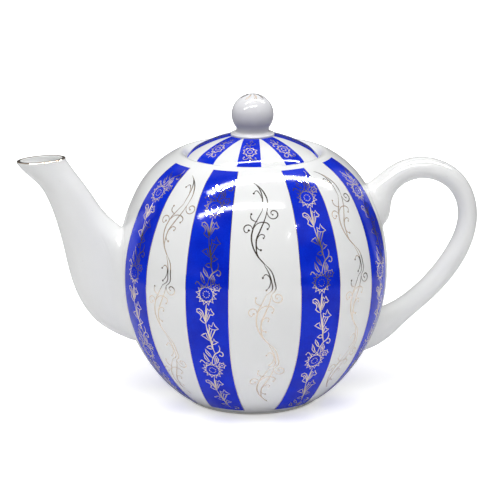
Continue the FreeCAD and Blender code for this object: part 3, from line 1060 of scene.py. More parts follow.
@dataclass
class Spout(Limb):
    """Hollow S-shaped spout with a flat, gilded lip."""

    side: float = -1.0
    sections: tuple[OvalSection, ...] = (
        OvalSection(-18.2, -38.3, 0.0, 12.0, 16.0),
        OvalSection(-6.6, -27.6, 0.0, 31.2, 24.6),
        OvalSection(-1.6, -16.6, 0.0, 39.2, 25.6),
        OvalSection(2.1, -2.6, 0.0, 42.6, 24.6),
        OvalSection(6.6, 11.4, 0.0, 39.5, 22.4),
        OvalSection(13.2, 21.4, 0.0, 30.9, 20.2),
        OvalSection(18.5, 29.4, 0.0, 24.8, 18.6),
        OvalSection(22.7, 37.4, 0.0, 22.4, 17.6),
        OvalSection(27.1, 44.4, 0.0, 22.0, 17.0),
        OvalSection(32.5, 50.6, 0.0, 24.0, 17.0),
        OvalSection(36.9, 56.6, 4.4, 23.8, 17.5))
    wall: float = 2.6
    lip: float = 1.9
    fillet: float = 6.5
    thinning: float = 12.0
    bunching: float = 1.35
    gilt: float = 0.07
    gilt_span: Pair = (0.08, 0.6)
    lip_edge: float = 0.3
    lip_steps: int = 16

    def walls(self, run: float) -> float:
        """Thickness of the wall at a run, thinner at the mouth."""
        left = (self.curve.length - run) / self.thinning
        return self.lip + (self.wall - self.lip) * min(max(left, 0.0), 1.0)

    def rail(self, angle: float, inner: bool) -> list[Vector]:
        """Points of one line along the spout's outside or bore, from the pot to the lip.

        Args:
            angle: where the line lies round the oval.
            inner: whether it lies in the bore.

        Returns:
            The points in millimetres.
        """
        top = self.curve.length - self.lip / 2
        start = self.root(angle, self.wall if inner else 0.0, top, 0.0)
        fillet = self.softness(self.fillet, angle)
        points = []
        for i in range(self.rings + 1):
            run = start + (top - start) * (i / self.rings) ** self.bunching
            if inner:
                points.append(self.point(run, angle, self.walls(run)))
            else:
                points.append(self.flared(run, angle, fillet))
        return points

    def lip_rings(self, outer: Sequence[Vector], inner: Sequence[Vector],
                  proud: float = 0.0, span: Pair = (0.0, 1.0)) -> Iterator[list[Vector]]:
        """Loops over the flat, round-edged lip from its outer edge to its bore.

        Args:
            outer: the outside's last loop.
            inner: the bore's last loop.
            proud: how far they stand off the lip.
            span: shares of the turn over the lip at which they start and end.

        Yields:
            Each loop's points.
        """
        for i in range(1, self.lip_steps):
            turn = math.pi * (span[0] + (span[1] - span[0]) * i / self.lip_steps)
            side = math.copysign(abs(math.cos(turn)) ** self.lip_edge, math.cos(turn))
            top = math.sin(turn) ** self.lip_edge
            loop = []
            for a, b in zip(outer, inner):
                middle = (a + b) / 2
                reach = (a - b) / 2
                grow = 1.0 + proud / reach.length
                rise = Vector((0.0, 0.0, self.lip / 2 + proud))
                loop.append(middle + reach * grow * side + rise * top)
            yield loop

    def build(self) -> None:
        """Skin the outside, the lip and the bore, and gild the lip."""
        outside, bore = (list(zip(*(self.rail(angle, inner) for angle in self.angles())))
                         for inner in (False, True))
        edges = (outside[-1], bore[-1])
        rows = [*outside, *self.lip_rings(*edges), *reversed(bore)]
        spout = dressed(made(self.skinned(rows, closed=True), "spout_shell"), PORCELAIN, Body.POT)
        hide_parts("spout")
        over, under = (list(self.lip_rings(*edges, proud, self.gilt_span))
                       for proud in (self.gilt, -self.gilt))
        rim = made(self.skinned([*over, *reversed(under)], closed=True), "spout_gilt_lip")
        dressed(rim, GOLD, Body.POT)


@dataclass
class Handle(Limb):
    """Ear handle with a broad upper root and a tail that thins and meets the pot below."""

    side: float = 1.0
    sections: tuple[OvalSection, ...] = (
        OvalSection(-17.2, 26.0, 110.0, 22.5, 15.0),
        OvalSection(-6.2, 30.2, 110.5, 22.5, 15.0),
        OvalSection(-3.4, 33.0, 113.0, 21.0, 14.6),
        OvalSection(-0.6, 38.8, 111.0, 15.2, 13.8),
        OvalSection(7.3, 46.4, 105.0, 11.2, 13.0),
        OvalSection(18.3, 48.7, 90.0, 10.5, 12.8),
        OvalSection(34.6, 41.1, 45.0, 9.9, 12.6),
        OvalSection(41.0, 24.9, 2.0, 9.4, 12.4),
        OvalSection(34.5, 2.7, -32.0, 10.6, 12.6),
        OvalSection(17.5, -17.6, -48.0, 10.6, 13.0),
        OvalSection(6.3, -26.5, -56.0, 12.4, 13.8),
        OvalSection(-3.0, -32.6, -72.0, 17.0, 15.0),
        OvalSection(-17.2, -38.0, -74.0, 19.0, 15.0))
    rings: int = 130
    upper_fillet: float = 4.5
    lower_fillet: float = 1.2
    notch_fillet: float = 1.5
    crest: float = 0.55
    bunching: float = 0.1

    def rail(self, angle: float) -> list[Vector]:
        """Points of one line along the handle, from its upper root to its lower one.

        Args:
            angle: where the line lies round the oval.

        Returns:
            The points in millimetres.
        """
        crest = self.curve.length * self.crest
        start, end = (self.root(angle, 0.0, crest, far) for far in (0.0, self.curve.length))
        upper = self.softness(self.upper_fillet, angle)
        points = []
        for i in range(self.rings + 1):
            share = i / self.rings
            run = start + (end - start) * (share - math.sin(math.tau * share) * self.bunching)
            points.append(self.flared(run, angle, upper if share < 0.5 else self.lower_fillet))
        return points

    def build(self) -> None:
        """Skin the handle from root to root."""
        rows = list(zip(*(self.rail(angle) for angle in self.angles())))
        handle = dressed(made(self.skinned(rows, closed=False), "handle_bar"), PORCELAIN, Body.POT)
        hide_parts("handle")


@dataclass(frozen=True)
class Meridian:
    """A line down a turned surface that a stripe or an ornament follows, as the hand set it."""

    turn: float
    start: float = 0.0
    lean: float = 0.0
    sweep: float = 0.0
    lean_end: float = 60.0
    sweep_start: float = 48.0
    sweep_span: float = 80.0

    def at(self, run: float) -> float:
        """Degrees from the front at a run, with the lean at the top and the sweep at the foot.

        Args:
            run: millimetres from the upper edge.

        Returns:
            The degrees, towards the handle.
        """
        leaning = max(0.0, 1.0 - run / self.lean_end)
        sweeping = max(0.0, (run - self.sweep_start) / self.sweep_span)
        return self.turn + self.lean * leaning + self.sweep * sweeping


@dataclass(frozen=True)
class Stroke:
    """One brush stroke of gold in a flat drawing, in millimetres across and along."""

    points: tuple[Pair, ...]
    width: float = 0.5
    thin: float = 0.4
    ball: float = 0.0
    loop: bool = False
    sharp: bool = False


def leaf(*points: Pair, width: float = 0.42) -> Stroke:
    """Closed, pointed outline of a leaf, bud or blossom."""
    return Stroke(points, width, loop=True, sharp=True)


def dot(across: float, along: float, size: float) -> Stroke:
    """A round drop of gold."""
    return Stroke(((across, along),), 0.0, ball=size)


def ring(count: int, inner: float, outer: float, centre: Pair = (0.0, 0.0)) -> tuple[Pair, ...]:
    """Corners of a spiky ring round a centre.

    Args:
        count: how many spikes there are.
        inner: radius of the first corner and of every second one after it.
        outer: radius of the corners between them.
        centre: the ring's middle, across and along.

    Returns:
        The corners in order.
    """
    reach = (inner, outer) * count
    return tuple((centre[0] + reach[i] * math.sin(math.pi * i / count),
                  centre[1] + reach[i] * math.cos(math.pi * i / count)) for i in range(2 * count))


@dataclass(frozen=True)
class Ornament:
    """A drawing of gold strokes that is laid on a turned surface."""

    strokes: tuple[Stroke, ...]
    weight: float = 1.0
    lift: float = 0.01
    flat: float = 0.012
    drop: tuple[float, ...] = (-0.98, -0.6, 0.0, 0.6, 0.98)

    def curve(self, shifts: Sequence[Pair], span: Pair) -> bpy.types.Curve:
        """Draw the strokes as round-sectioned curves, once for each shift.

        Args:
            shifts: where the drawing's origin stands each time, across and along.
            span: where the ornament may go; a stroke that leaves it is left out.

        Returns:
            The curve, flat and in millimetres.
        """
        drawn = bpy.data.curves.new("gold_strokes", "CURVE")
        drawn.dimensions = "3D"
        drawn.bevel_depth = 1.0
        drawn.bevel_resolution = 1
        drawn.use_fill_caps = True
        drawn.resolution_u = 4
        for shift in shifts:
            for stroke in self.strokes:
                points = [(x + shift[0], y + shift[1]) for x, y in stroke.points]
                if all(span[0] < y < span[1] for _, y in points):
                    self.draw(drawn, stroke, points)
        return drawn

    def draw(self, drawn: bpy.types.Curve, stroke: Stroke, points: Sequence[Pair]) -> None:
        """Add one stroke, which swells in the middle, and its ball end.

        Args:
            drawn: the curve it is added to.
            stroke: the stroke.
            points: its points, shifted into place.
        """
        last = len(points) - 1
        if last:
            line = drawn.splines.new("BEZIER")
            line.bezier_points.add(last)
            line.use_cyclic_u = stroke.loop
            for i, (node, (x, y)) in enumerate(zip(line.bezier_points, points)):
                bulge = 1.0 if stroke.loop else math.sin(math.pi * i / last)
                swell = stroke.thin + (1.0 - stroke.thin) * bulge
                node.co = (x, y, 0.0)
                node.radius = self.weight * stroke.width / 2 * swell
                node.handle_left_type = node.handle_right_type = "VECTOR" if stroke.sharp else "AUTO"
        if stroke.ball:
            x, y = points[-1]
            ball = drawn.splines.new("POLY")
            ball.points.add(len(self.drop) - 1)
            for node, share in zip(ball.points, self.drop):
                node.co = (x, y + share * stroke.ball / 2, 0.0, 1.0)
                node.radius = stroke.ball / 2 * math.sqrt(1.0 - share ** 2)

    def laid(self, name: str, surface: Surface, body: Body, lines: Iterable[Meridian], steps: Sequence[float],
             base: float = 0.0, span: Pair = ANYWHERE) -> bpy.types.Object:
        """Lay the drawing on a surface, along one or more meridians, as one piece.

        Args:
            name: the piece's name.
            surface: what it lies on.
            body: what it moves with.
            lines: the meridians it follows.
            steps: where it is repeated, in millimetres down from each meridian's start.
            base: height of the surface under the gold.
            span: the runs between which it may go.

        Returns:
            The piece.
        """
        bm = bmesh.new()
        for line in lines:
            drawn = self.curve([(0.0, line.start + step) for step in steps], span)
            carrier = linked("strokes", drawn)
            mesh = worked_out(carrier)
            for vert in mesh.vertices:
                x, y, z = vert.co
                vert.co = surface.lay(x, y, line.at(y), base + self.lift + z * self.flat)
            bm.from_mesh(mesh)
            bpy.data.objects.remove(carrier)
            bpy.data.curves.remove(drawn)
            bpy.data.meshes.remove(mesh)
        bmesh.ops.recalc_face_normals(bm, faces=bm.faces)
        return dressed(made(bm, name), GOLD, body, FINE_CREASE)


FLOWER = Ornament((
    Stroke(ring(13, 3.4, 5.2), 0.5, loop=True, sharp=True),
    Stroke(ring(13, 4.0, 3.2), 0.32, loop=True, sharp=True),
    *(dot(x, y, 0.5) for x, y in ring(5, 1.6, 1.6)),
    Stroke(((5.0, -15.4), (5.4, -13.8), (4.8, -11.9), (2.9, -10.4), (1.6, -8.2), (0.8, -5.8),
            (0.5, -3.6)), 0.5),
    Stroke(((4.8, -11.9), (6.2, -11.6), (6.7, -10.3), (5.9, -9.2), (5.1, -9.7)), 0.45, ball=0.85),
    leaf((1.0, -7.9), (-0.1, -10.4), (-1.9, -12.7), (-1.7, -10.9), (-0.4, -9.0)),
    leaf((-1.3, -5.2), (-2.8, -7.2), (-3.1, -10.3), (-1.9, -8.2), (-0.8, -5.6)),
    leaf((2.1, -4.8), (2.2, -7.2), (3.1, -9.4), (4.1, -7.2), (3.4, -5.1)),
    Stroke(((2.8, -5.6), (3.1, -6.8), (3.1, -8.0)), 0.6),
    Stroke(((-2.6, -3.4), (-3.6, -4.9), (-4.8, -5.7), (-5.5, -4.7)), 0.45, ball=0.7),
    Stroke(ring(6, 1.1, 2.0, (5.3, -3.7)), 0.42, loop=True, sharp=True),
    dot(5.3, -3.7, 0.8),
), weight=1.2)
VINE = Ornament((
    Stroke(((0.1, 4.8), (-0.2, 7.6), (-0.4, 11.2), (-0.5, 14.6)), 0.55),
    leaf((-0.5, 14.6), (-1.9, 14.0), (-3.3, 12.7), (-2.6, 11.4), (-3.2, 9.9), (-4.8, 9.0), (-4.8, 7.7),
         (-3.6, 7.3), (-2.2, 8.3), (-1.3, 10.2), (-0.8, 12.4)),
    Stroke(((-0.7, 13.8), (-1.7, 11.2), (-2.8, 9.2), (-3.9, 8.6)), 0.38),
    leaf((-0.5, 14.6), (-0.2, 11.0), (0.1, 8.6), (0.5, 6.9), (1.4, 8.0), (2.2, 6.8), (2.8, 8.2), (3.8, 9.3),
         (3.0, 10.0), (1.8, 9.8), (1.0, 11.6)),
    Stroke(((-0.2, 13.4), (0.6, 10.4), (1.4, 8.5)), 0.38),
    Stroke(((-0.5, 14.6), (0.0, 17.6), (0.8, 21.5), (1.5, 24.0), (1.8, 26.0), (2.2, 28.4), (2.9, 30.8)), 0.6),
    Stroke(((0.4, 18.4), (1.2, 21.6), (1.9, 25.4)), 0.7),
    leaf((0.9, 22.4), (0.7, 19.2), (1.2, 16.6), (0.9, 15.0), (2.3, 15.9), (3.2, 13.6), (4.0, 15.4),
         (5.6, 16.9), (4.0, 17.5), (3.0, 19.6), (1.7, 22.4)),
    Stroke(((1.2, 16.6), (2.5, 17.3), (4.0, 17.4)), 0.36),
    Stroke(((1.3, 21.4), (1.9, 18.8), (2.6, 17.2)), 0.36),
    leaf((0.8, 23.6), (-0.8, 22.5), (-3.2, 21.0), (-2.0, 20.2), (-0.7, 19.6), (-0.3, 21.2)),
    leaf((1.6, 25.9), (2.2, 24.2), (3.0, 22.3), (3.4, 23.5), (4.9, 24.0), (3.3, 25.1)),
    leaf((1.9, 28.0), (0.6, 28.2), (-1.1, 27.4), (0.0, 26.6), (1.1, 26.3)),
), weight=1.2)
SCROLL = Ornament((
    Stroke(((1.7, -0.4), (0.6, 3.4), (-2.1, 9.4), (-3.8, 13.2), (-4.1, 16.9), (-3.6, 20.7),
            (-0.6, 24.8)), 0.72),
    Stroke(((-0.6, -0.4), (-3.0, 3.8), (-4.7, 6.8), (-5.6, 9.4), (-6.2, 12.4), (-5.8, 16.2), (-3.9, 20.7),
            (-2.8, 22.4), (-0.6, 25.2)), 0.72),
    Stroke(((1.5, 0.0), (2.3, 2.6), (4.3, 3.8), (6.2, 3.0), (6.6, 1.5), (5.5, 0.0), (3.9, 0.0), (3.4, 1.1),
            (4.2, 1.8)), 0.58, ball=0.85),
    Stroke(((-3.0, 5.2), (-4.7, 4.6), (-5.8, 3.8), (-6.2, 2.6), (-5.8, 1.3)), 0.55, ball=1.0),
    Stroke(((-5.4, 9.2), (-6.2, 7.1), (-8.1, 6.6), (-9.6, 8.3), (-8.5, 10.2), (-7.3, 9.1)), 0.55, ball=1.1),
    Stroke(((-5.3, 8.5), (-3.2, 6.0), (-0.2, 5.3), (2.1, 6.4), (2.3, 7.6), (1.5, 8.6)), 0.55, ball=1.0),
    Stroke(((-3.5, 13.2), (-2.4, 11.5), (-1.1, 11.1), (0.0, 12.0), (-0.6, 12.8)), 0.5, ball=0.85),
    Stroke(((-4.1, 15.4), (-3.4, 17.7), (-2.0, 18.4)), 0.5, ball=1.1),
))
SCROLL_RISE = Ornament((
    Stroke(((-0.6, -14.9), (2.4, -11.1), (3.6, -6.2), (3.8, -2.5), (1.7, -0.2)), 0.62),
    Stroke(((-0.8, -14.4), (1.1, -10.4), (2.1, -6.2), (2.1, -2.5), (-0.6, -0.2)), 0.62),
    Stroke(((1.6, -6.4), (0.9, -9.1), (-0.6, -9.8), (-1.9, -8.3)), 0.5, ball=1.0),
    Stroke(((1.7, -7.2), (1.1, -4.4), (-0.6, -2.3)), 0.5, ball=1.0),
))
SCROLL_TIP = Ornament((
    Stroke(((-4.7, -16.2), (-0.9, -12.3), (0.9, -9.2), (2.1, -5.0), (1.7, -0.2)), 0.62),
    Stroke(((-2.9, -14.6), (-1.1, -11.4), (-0.2, -7.0), (-0.6, -0.2)), 0.6),
    Stroke(((-0.5, -6.6), (-1.5, -9.4), (-2.8, -10.7), (-4.1, -9.2)), 0.5, ball=1.0),
))
LID_SPRIG = Ornament((
    Stroke(ring(8, 2.5, 3.5), 0.62, loop=True, sharp=True),
    Stroke(ring(4, 1.2, 1.2), 0.3, loop=True),
    Stroke(((0.0, -3.0), (-0.3, -5.4), (0.4, -8.0)), 0.45),
    Stroke(((-0.2, -4.6), (-1.8, -5.2), (-2.9, -4.6), (-3.0, -3.6)), 0.45, ball=0.8),
    Stroke(((-0.2, -5.4), (-1.5, -6.2), (-2.0, -7.4)), 0.45, ball=0.7),
    Stroke(((0.0, -5.6), (1.4, -6.0), (2.1, -7.2)), 0.45, ball=0.7),
    leaf((0.4, -8.0), (-0.5, -9.0), (0.2, -10.3), (1.1, -9.0)),
    Stroke(((-0.2, 3.2), (-0.9, 5.0), (-2.2, 5.8), (-3.1, 5.0), (-2.6, 4.1)), 0.45, ball=0.7),
    Stroke(((0.2, 3.2), (1.0, 5.2), (2.3, 6.2), (3.3, 5.5), (2.8, 4.6)), 0.45, ball=0.7),
    Stroke(((0.0, 3.3), (0.3, 5.4), (0.1, 7.4)), 0.45),
))
KNOB_FAN = Ornament((
    Stroke(((0.0, 1.6), (0.25, 3.8), (-0.1, 6.4)), 1.0),
    Stroke(((-0.9, 4.4), (-0.7, 5.6), (-0.9, 6.8)), 0.5),
))


def mirrored(edge: Edge) -> Edge:
    """The same edge on the other side of its meridian."""
    return lambda run: -edge(run)


@dataclass(frozen=True)
class Stripes:
    """Cobalt stripes down a turned surface, edged in gold where their line has a breadth."""

    surface: Surface
    body: Body
    last: float
    lines: tuple[Meridian, ...]
    half: Edge
    glaze: float = 0.05
    skin: float = 0.9
    line: float = 0.28
    proud: float = 1.8
    across: int = 10
    step: float = 1.5

    def sheet(self, line: Meridian, low: Edge, high: Edge, columns: int, height: float) -> bmesh.types.BMesh:
        """A thin closed skin on the surface between two edges.

        Args:
            line: the stripe's meridian.
            low: its left edge in degrees from the meridian, at a run.
            high: its right edge.
            columns: faces across it.
            height: how far it stands off the surface.

        Returns:
            The mesh in millimetres.
        """
        bm = bmesh.new()
        first = line.start
        rows = round((self.last - first) / self.step)
        bmesh.ops.create_grid(bm, x_segments=columns, y_segments=rows, size=1.0)
        for vert in bm.verts:
            u, v = (vert.co.x + 1) / 2, (1 - vert.co.y) / 2
            run = first + (self.last - first) * v
            left, right = low(run), high(run)
            vert.co = self.surface.place(run, line.at(run) + left + (right - left) * u, height)
        bmesh.ops.recalc_face_normals(bm, faces=bm.faces)
        out = sum(face.normal.dot(face.calc_center_median() * Vector((1, 1, 0))) for face in bm.faces)
        if out < 0.0:
            bmesh.ops.reverse_faces(bm, faces=bm.faces)
        bmesh.ops.solidify(bm, geom=bm.faces[:], thickness=height * self.skin)
        return bm

    def within(self, run: float) -> float:
        """Half a stripe's breadth in degrees, less the gold line."""
        return self.half(run) - math.degrees(self.line / self.surface.at(run)[0])

    def lay(self, name: str, finish: Finish, bands: Sequence[tuple[Edge, Edge]], columns: int,
            height: float) -> None:
        """Lay one or two bands along every stripe, as one piece.

        Args:
            name: the piece's name.
            finish: its surface.
            bands: the left and the right edge of each band.
            columns: faces across a band.
            height: how far it stands off the surface.
        """
        whole = bmesh.new()
        for line in self.lines:
            for low, high in bands:
                band = meshed(self.sheet(line, low, high, columns, height), "band")
                whole.from_mesh(band)
                bpy.data.meshes.remove(band)
        dressed(made(whole, name), finish, self.body, FINE_CREASE)

    def build(self, name: str) -> None:
        """Lay the stripes, and a fine gold line along both sides of each where there is one.

        Args:
            name: what the pieces' names start with.
        """
        left = mirrored(self.half)
        self.lay(f"{name}_stripes", COBALT, [(left, self.half)], self.across, self.glaze)
        if self.line:
            sides = [(left, mirrored(self.within)), (self.within, self.half)]
            self.lay(f"{name}_stripe_edges", GOLD, sides, 1, self.glaze * self.proud)


@dataclass(frozen=True)
class Decoration:
    """All the fired colour: stripes, vines, scrolls, the lid's sprigs and the knob's fan."""

    pot: Pot
    lid: Lid
    stripes: tuple[Meridian, ...] = (
        Meridian(-155.8, 3.8), Meridian(-117.3, 4.6), Meridian(-63.8, 5.4, 3.0), Meridian(-24.2, 3.8),
        Meridian(23.8, 3.8), Meridian(62.7, 3.6), Meridian(117.3, 5.2), Meridian(155.8, 3.8))
    stripe_end: float = 142.0
    stripe_half: float = 9.35
    widening: Pair = (90.0, 145.0)
    widened: float = 4.4
    widening_power: float = 2.2
    vine_starts: tuple[float, ...] = (22.0, 26.5, 23.0, 25.3, 21.1, 24.5, 20.0, 27.0)
    vine_period: float = 41.2
    vine_repeats: int = 4
    vine_span: Pair = (4.6, 140.0)
    scrolls: tuple[Meridian, ...] = (
        Meridian(0.0, 26.3, sweep=4.0), Meridian(-44.3, 25.8, 6.0), Meridian(44.4, 23.4),
        Meridian(180.0, 26.3), Meridian(136.5, 24.4), Meridian(-136.5, 25.6))
    scroll_period: float = 39.7
    scroll_repeats: int = 3
    scroll_span: Pair = (-math.inf, 131.0)
    lid_turns: tuple[float, ...] = (-8.5, 36.5, 86.0, 129.0, 172.0, -143.0, -98.0, -53.5)
    sprig_start: float = 12.4
    lid_half_widths: Pair = (3.85, 6.1)
    lid_end: float = 24.4
    lid_step: float = 0.8
    fan_turns: tuple[float, ...] = tuple(45.0 * i + 14.0 for i in range(8))

    def pot_half(self, run: float) -> float:
        """Half a stripe's breadth in degrees, widening where the base draws in.

        Args:
            run: millimetres down from the rim's top.

        Returns:
            The half breadth.
        """
        start, end = self.widening
        share = min(max((run - start) / (end - start), 0.0), 1.0)
        return self.stripe_half + self.widened * share ** self.widening_power

    def lid_half(self, run: float) -> float:
        """Half a lid stripe's breadth in degrees.

        Args:
            run: millimetres out from the knob's disc.

        Returns:
            The half breadth.
        """
        radius = self.lid.outside().at(run)[0]
        inner, outer = self.lid_half_widths
        return math.degrees((inner + (outer - inner) * run / self.lid_end) / radius)

    def build(self) -> None:
        """Lay every stripe and stroke."""
        outside = self.pot.outside()
        dome = self.lid.outside()
        stripes = Stripes(outside, Body.POT, self.stripe_end, self.stripes, self.pot_half)
        stripes.build("pot")
        lid_lines = tuple(Meridian(turn) for turn in self.lid_turns)
        lid_stripes = Stripes(dome, Body.LID, self.lid_end, lid_lines, self.lid_half, line=0.0,
                              step=self.lid_step)
        lid_stripes.build("lid")
        vines = [replace(stripe, start=start) for stripe, start in zip(self.stripes, self.vine_starts)]
        repeats = [self.vine_period * i for i in range(self.vine_repeats)]
        for name, drawing in (("flowers", FLOWER), ("vines", VINE)):
            drawing.laid(f"pot_gold_{name}", outside, Body.POT, vines, repeats, stripes.glaze, self.vine_span)
        tops = [self.scroll_period * i for i in range(self.scroll_repeats)]
        for name, drawing, places in (("body", SCROLL, tops), ("rise", SCROLL_RISE, tops[1:]),
                                      ("tip", SCROLL_TIP, tops[:1])):
            drawing.laid(f"pot_gold_scroll_{name}", outside, Body.POT, self.scrolls, places,
                         span=self.scroll_span)
        sprigs = [Meridian(turn, self.sprig_start) for turn in self.lid_turns]
        LID_SPRIG.laid("lid_gold_sprigs", dome, Body.LID, sprigs, [0.0], stripes.glaze)
        fans = [Meridian(turn) for turn in self.fan_turns]
        KNOB_FAN.laid("knob_gold_fan", self.lid.ball(), Body.LID, fans, [0.0])


@dataclass(frozen=True)
class Lamp:
    """One studio lamp: where it hangs, the line it lies along, its size and its power."""

    name: str
    place: Triple
    along: Triple
    size: Pair
    power: float
    mirrored: bool


class Part(Enum):
    """A part of the direction in which the glaze mirrors the room."""

    ACROSS = "to the right"
    ASIDE = "to either side"
    DEPTH = "away from the camera"
    HEIGHT = "up"


@dataclass(frozen=True)
class Area:
    """A soft-edged area of the mirrored room.

    A bound names a part of the direction and the values between which the area fades in, or fades out where
    the first of them is the greater.
    """

    level: float
    bounds: tuple[tuple[Part, float, float], ...]

    def glow(self, parts: dict[Part, Sock]) -> Sock:
        """Brightness of the area in a direction.

        Args:
            parts: the direction's parts.

        Returns:
            The brightness, 0 outside the area.
        """
        fades = [parts[part].step(first, last) if first < last else parts[part].fall(last, first)
                 for part, first, last in self.bounds]
        return math.prod(fades[1:], start=fades[0]) * self.level


@dataclass(frozen=True)
class Studio:
    """Pale table, white backdrop, soft lamps, ceiling tubes and the camera."""

    target: Triple = (0.0, 0.0, 0.0666)
    distance: float = 1.0
    elevation: float = 15.77
    azimuth: float = -5.3
    lens: float = 144.0
    sensor: float = 36.0
    shift: Pair = (-0.0052, 0.032)
    ambient: float = 0.485
    room: float = 0.07
    backdrop: Area = Area(0.1, ((Part.DEPTH, 0.55, 0.9), (Part.HEIGHT, 0.8, 0.45)))
    ceiling: Area = Area(0.9, (
        (Part.DEPTH, 0.2, 0.36), (Part.HEIGHT, 0.45, 0.65), (Part.ASIDE, 0.52, 0.4)))
    walls: Area = Area(0.5, (
        (Part.ASIDE, 0.42, 0.62), (Part.HEIGHT, 0.88, 0.74), (Part.DEPTH, 0.45, 0.15)))
    gap: Area = Area(1.0, (
        (Part.HEIGHT, 0.02, 0.14), (Part.HEIGHT, 0.55, 0.42), (Part.ASIDE, 0.95, 0.75)))
    window: Area = Area(0.85, (
        (Part.ACROSS, 0.5, 0.62), (Part.DEPTH, 0.05, -0.15), (Part.HEIGHT, 0.26, 0.42),
        (Part.HEIGHT, 0.92, 0.85)))
    flanks: Area = Area(0.75, (
        (Part.ASIDE, 0.5, 0.6), (Part.DEPTH, 0.4, 0.5), (Part.HEIGHT, 0.1, 0.2), (Part.HEIGHT, 0.74, 0.62)))
    table_side: Pair = (0.30, 0.38)
    table_front: Pair = (0.58, 0.68)
    table_flare: float = 0.2
    table_size: float = 3.0
    table_drop: float = 0.0002
    table_white: Colour = (0.90, 0.90, 0.90, 1.0)
    table_mirrored: Colour = (0.70, 0.70, 0.70, 1.0)
    table_beyond: Colour = (0.12, 0.12, 0.13, 1.0)
    glow: Pair = (0.45, 0.5)
    glow_reach: Pair = (0.2, 0.9)
    lamps: tuple[Lamp, ...] = (
        Lamp("soft_box", (-0.10, -0.38, 1.15), (1.0, 0.0, 0.0), (1.8, 0.8), 14.0, False),
        Lamp("back_tube", (0.15, 0.11, 1.11), (1.77, 0.51, 0.0), (1.85, 0.11), 45.0, True),
        Lamp("front_tube", (-0.30, -0.68, 1.11), (1.0, 0.03, 0.0), (1.7, 0.09), 38.0, True),
        Lamp("left_bulb", (0.49, -0.62, 0.55), (1.0, 0.0, 0.0), (0.02, 0.02), 0.12, True),
        Lamp("right_bulb", (0.40, -0.74, 0.50), (1.0, 0.0, 0.0), (0.02, 0.02), 0.12, True))

    def camera(self) -> None:
        """Stand the camera where the photograph was taken from."""
        data = bpy.data.cameras.new("camera")
        data.lens = self.lens
        data.sensor_width = self.sensor
        data.shift_x, data.shift_y = self.shift
        camera = linked("camera", data)
        rise, swing = math.radians(self.elevation), math.radians(self.azimuth)
        away = Vector((math.sin(swing) * math.cos(rise), -math.cos(swing) * math.cos(rise), math.sin(rise)))
        camera.location = Vector(self.target) + self.distance * away
        camera.rotation_euler = (-away).to_track_quat("-Z", "Y").to_euler()
        bpy.context.scene.camera = camera

    def hang(self, lamp: Lamp) -> None:
        """Hang a lamp that faces the pot, seen either in the glaze or as plain soft light.

        Args:
            lamp: the lamp.
        """
        data = bpy.data.lights.new(lamp.name, "AREA")
        data.shape = "RECTANGLE"
        data.size, data.size_y = lamp.size
        data.energy = lamp.power
        hung = linked(lamp.name, data)
        back = (Vector(lamp.place) - Vector(self.target)).normalized()
        side = Vector(lamp.along)
        side = (side - side.dot(back) * back).normalized()
        hung.matrix_world = Matrix.Translation(lamp.place) @ Matrix(
            (side, back.cross(side), back)).transposed().to_4x4()
        hung.visible_glossy = lamp.mirrored
        hung.visible_diffuse = not lamp.mirrored
        hung.visible_camera = False

    @staticmethod
    def looked_at(net: Net) -> Sock:
        """1 where a ray comes straight from the camera or through something clear."""
        return net.ray("Camera") + net.ray("Transmission")

    def floor(self) -> None:
        """Lay the pale table, white to the camera, which ends a little way off for all other rays."""
        bm = bmesh.new()
        bmesh.ops.create_grid(bm, x_segments=2, y_segments=2, size=self.table_size)
        bmesh.ops.translate(bm, vec=(0.0, 0.0, -self.table_drop), verts=bm.verts)
        floor = linked("floor", meshed(bm, "floor"))
        table = bpy.data.materials.new("pale_table")
        table.use_nodes = True
        net = Net(table.node_tree)
        seen = self.looked_at(net)
        where = net.node("ShaderNodeTexCoord", out="Object")
        reach = net.node("ShaderNodeVectorMath", {"operation": "LENGTH"}, {0: where}, out="Value")
        across, depth, _ = net.parts(where)
        aside = across.unsigned() + depth * self.table_flare
        front = depth * -1.0
        beyond = (1.0 - seen) * aside.step(*self.table_side).most(front.step(*self.table_front))
        near = net.mix(net.ray("Glossy"), self.table_white, self.table_mirrored)
        matt = net.node("ShaderNodeBsdfDiffuse", {}, {"Color": net.mix(beyond, near, self.table_beyond)})
        strength = seen * (self.glow[0] + reach.step(*self.glow_reach) * self.glow[1])
        glow = net.node("ShaderNodeEmission", {}, {"Strength": strength})
        net.surface(net.node("ShaderNodeAddShader", {}, {0: matt, 1: glow}))
        floor.data.materials.append(table)

    def world(self) -> None:
        """Surround the scene with a dim room before a white backdrop, which the camera sees all round."""
        world = bpy.data.worlds.new("studio")
        bpy.context.scene.world = world
        world.use_nodes = True
        net = Net(world.node_tree)
        seen = self.looked_at(net)
        glossy = net.ray("Glossy")
        across, depth, height = net.parts(net.node("ShaderNodeTexCoord", out="Generated"))
        parts = {Part.ACROSS: across, Part.ASIDE: across.unsigned(), Part.DEPTH: depth, Part.HEIGHT: height}
        above = self.ceiling.glow(parts) + self.walls.glow(parts) * (1.0 - self.gap.glow(parts))
        beside = self.window.glow(parts) + self.flanks.glow(parts)
        glaze = self.backdrop.glow(parts).most(above).most(beside).most(self.room)
        plain = glossy * glaze + (1.0 - glossy) * self.ambient
        sky = net.node("ShaderNodeBackground", {}, {
            "Color": (1.0, 1.0, 1.0, 1.0), "Strength": seen + (1.0 - seen) * plain})
        net.node("ShaderNodeOutputWorld", {}, {"Surface": sky})

    def build(self) -> None:
        """Set the whole studio up."""
        bpy.context.scene.view_settings.view_transform = "Standard"
        self.camera()
        self.floor()
        self.world()
        for lamp in self.lamps:
            self.hang(lamp)


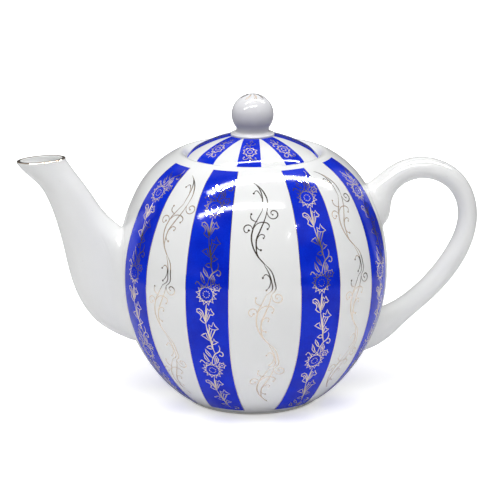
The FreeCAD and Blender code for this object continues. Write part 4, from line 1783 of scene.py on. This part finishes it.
def main() -> None:
    """Build the teapot piece by piece on its frame."""
    logging.basicConfig(level=logging.INFO, format="%(message)s")
    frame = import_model()
    Studio().build()
    pot = Pot()
    lid = Lid()
    pot.build()
    Spout(pot).build()
    Handle(pot).build()
    lid.build()
    strainer = frame["nodes"]["spout_strainer"]
    strainer.data.materials.clear()
    strainer.data.materials.append(BISQUE.material())
    Decoration(pot, lid).build()


if __name__ == "__main__":
    main()
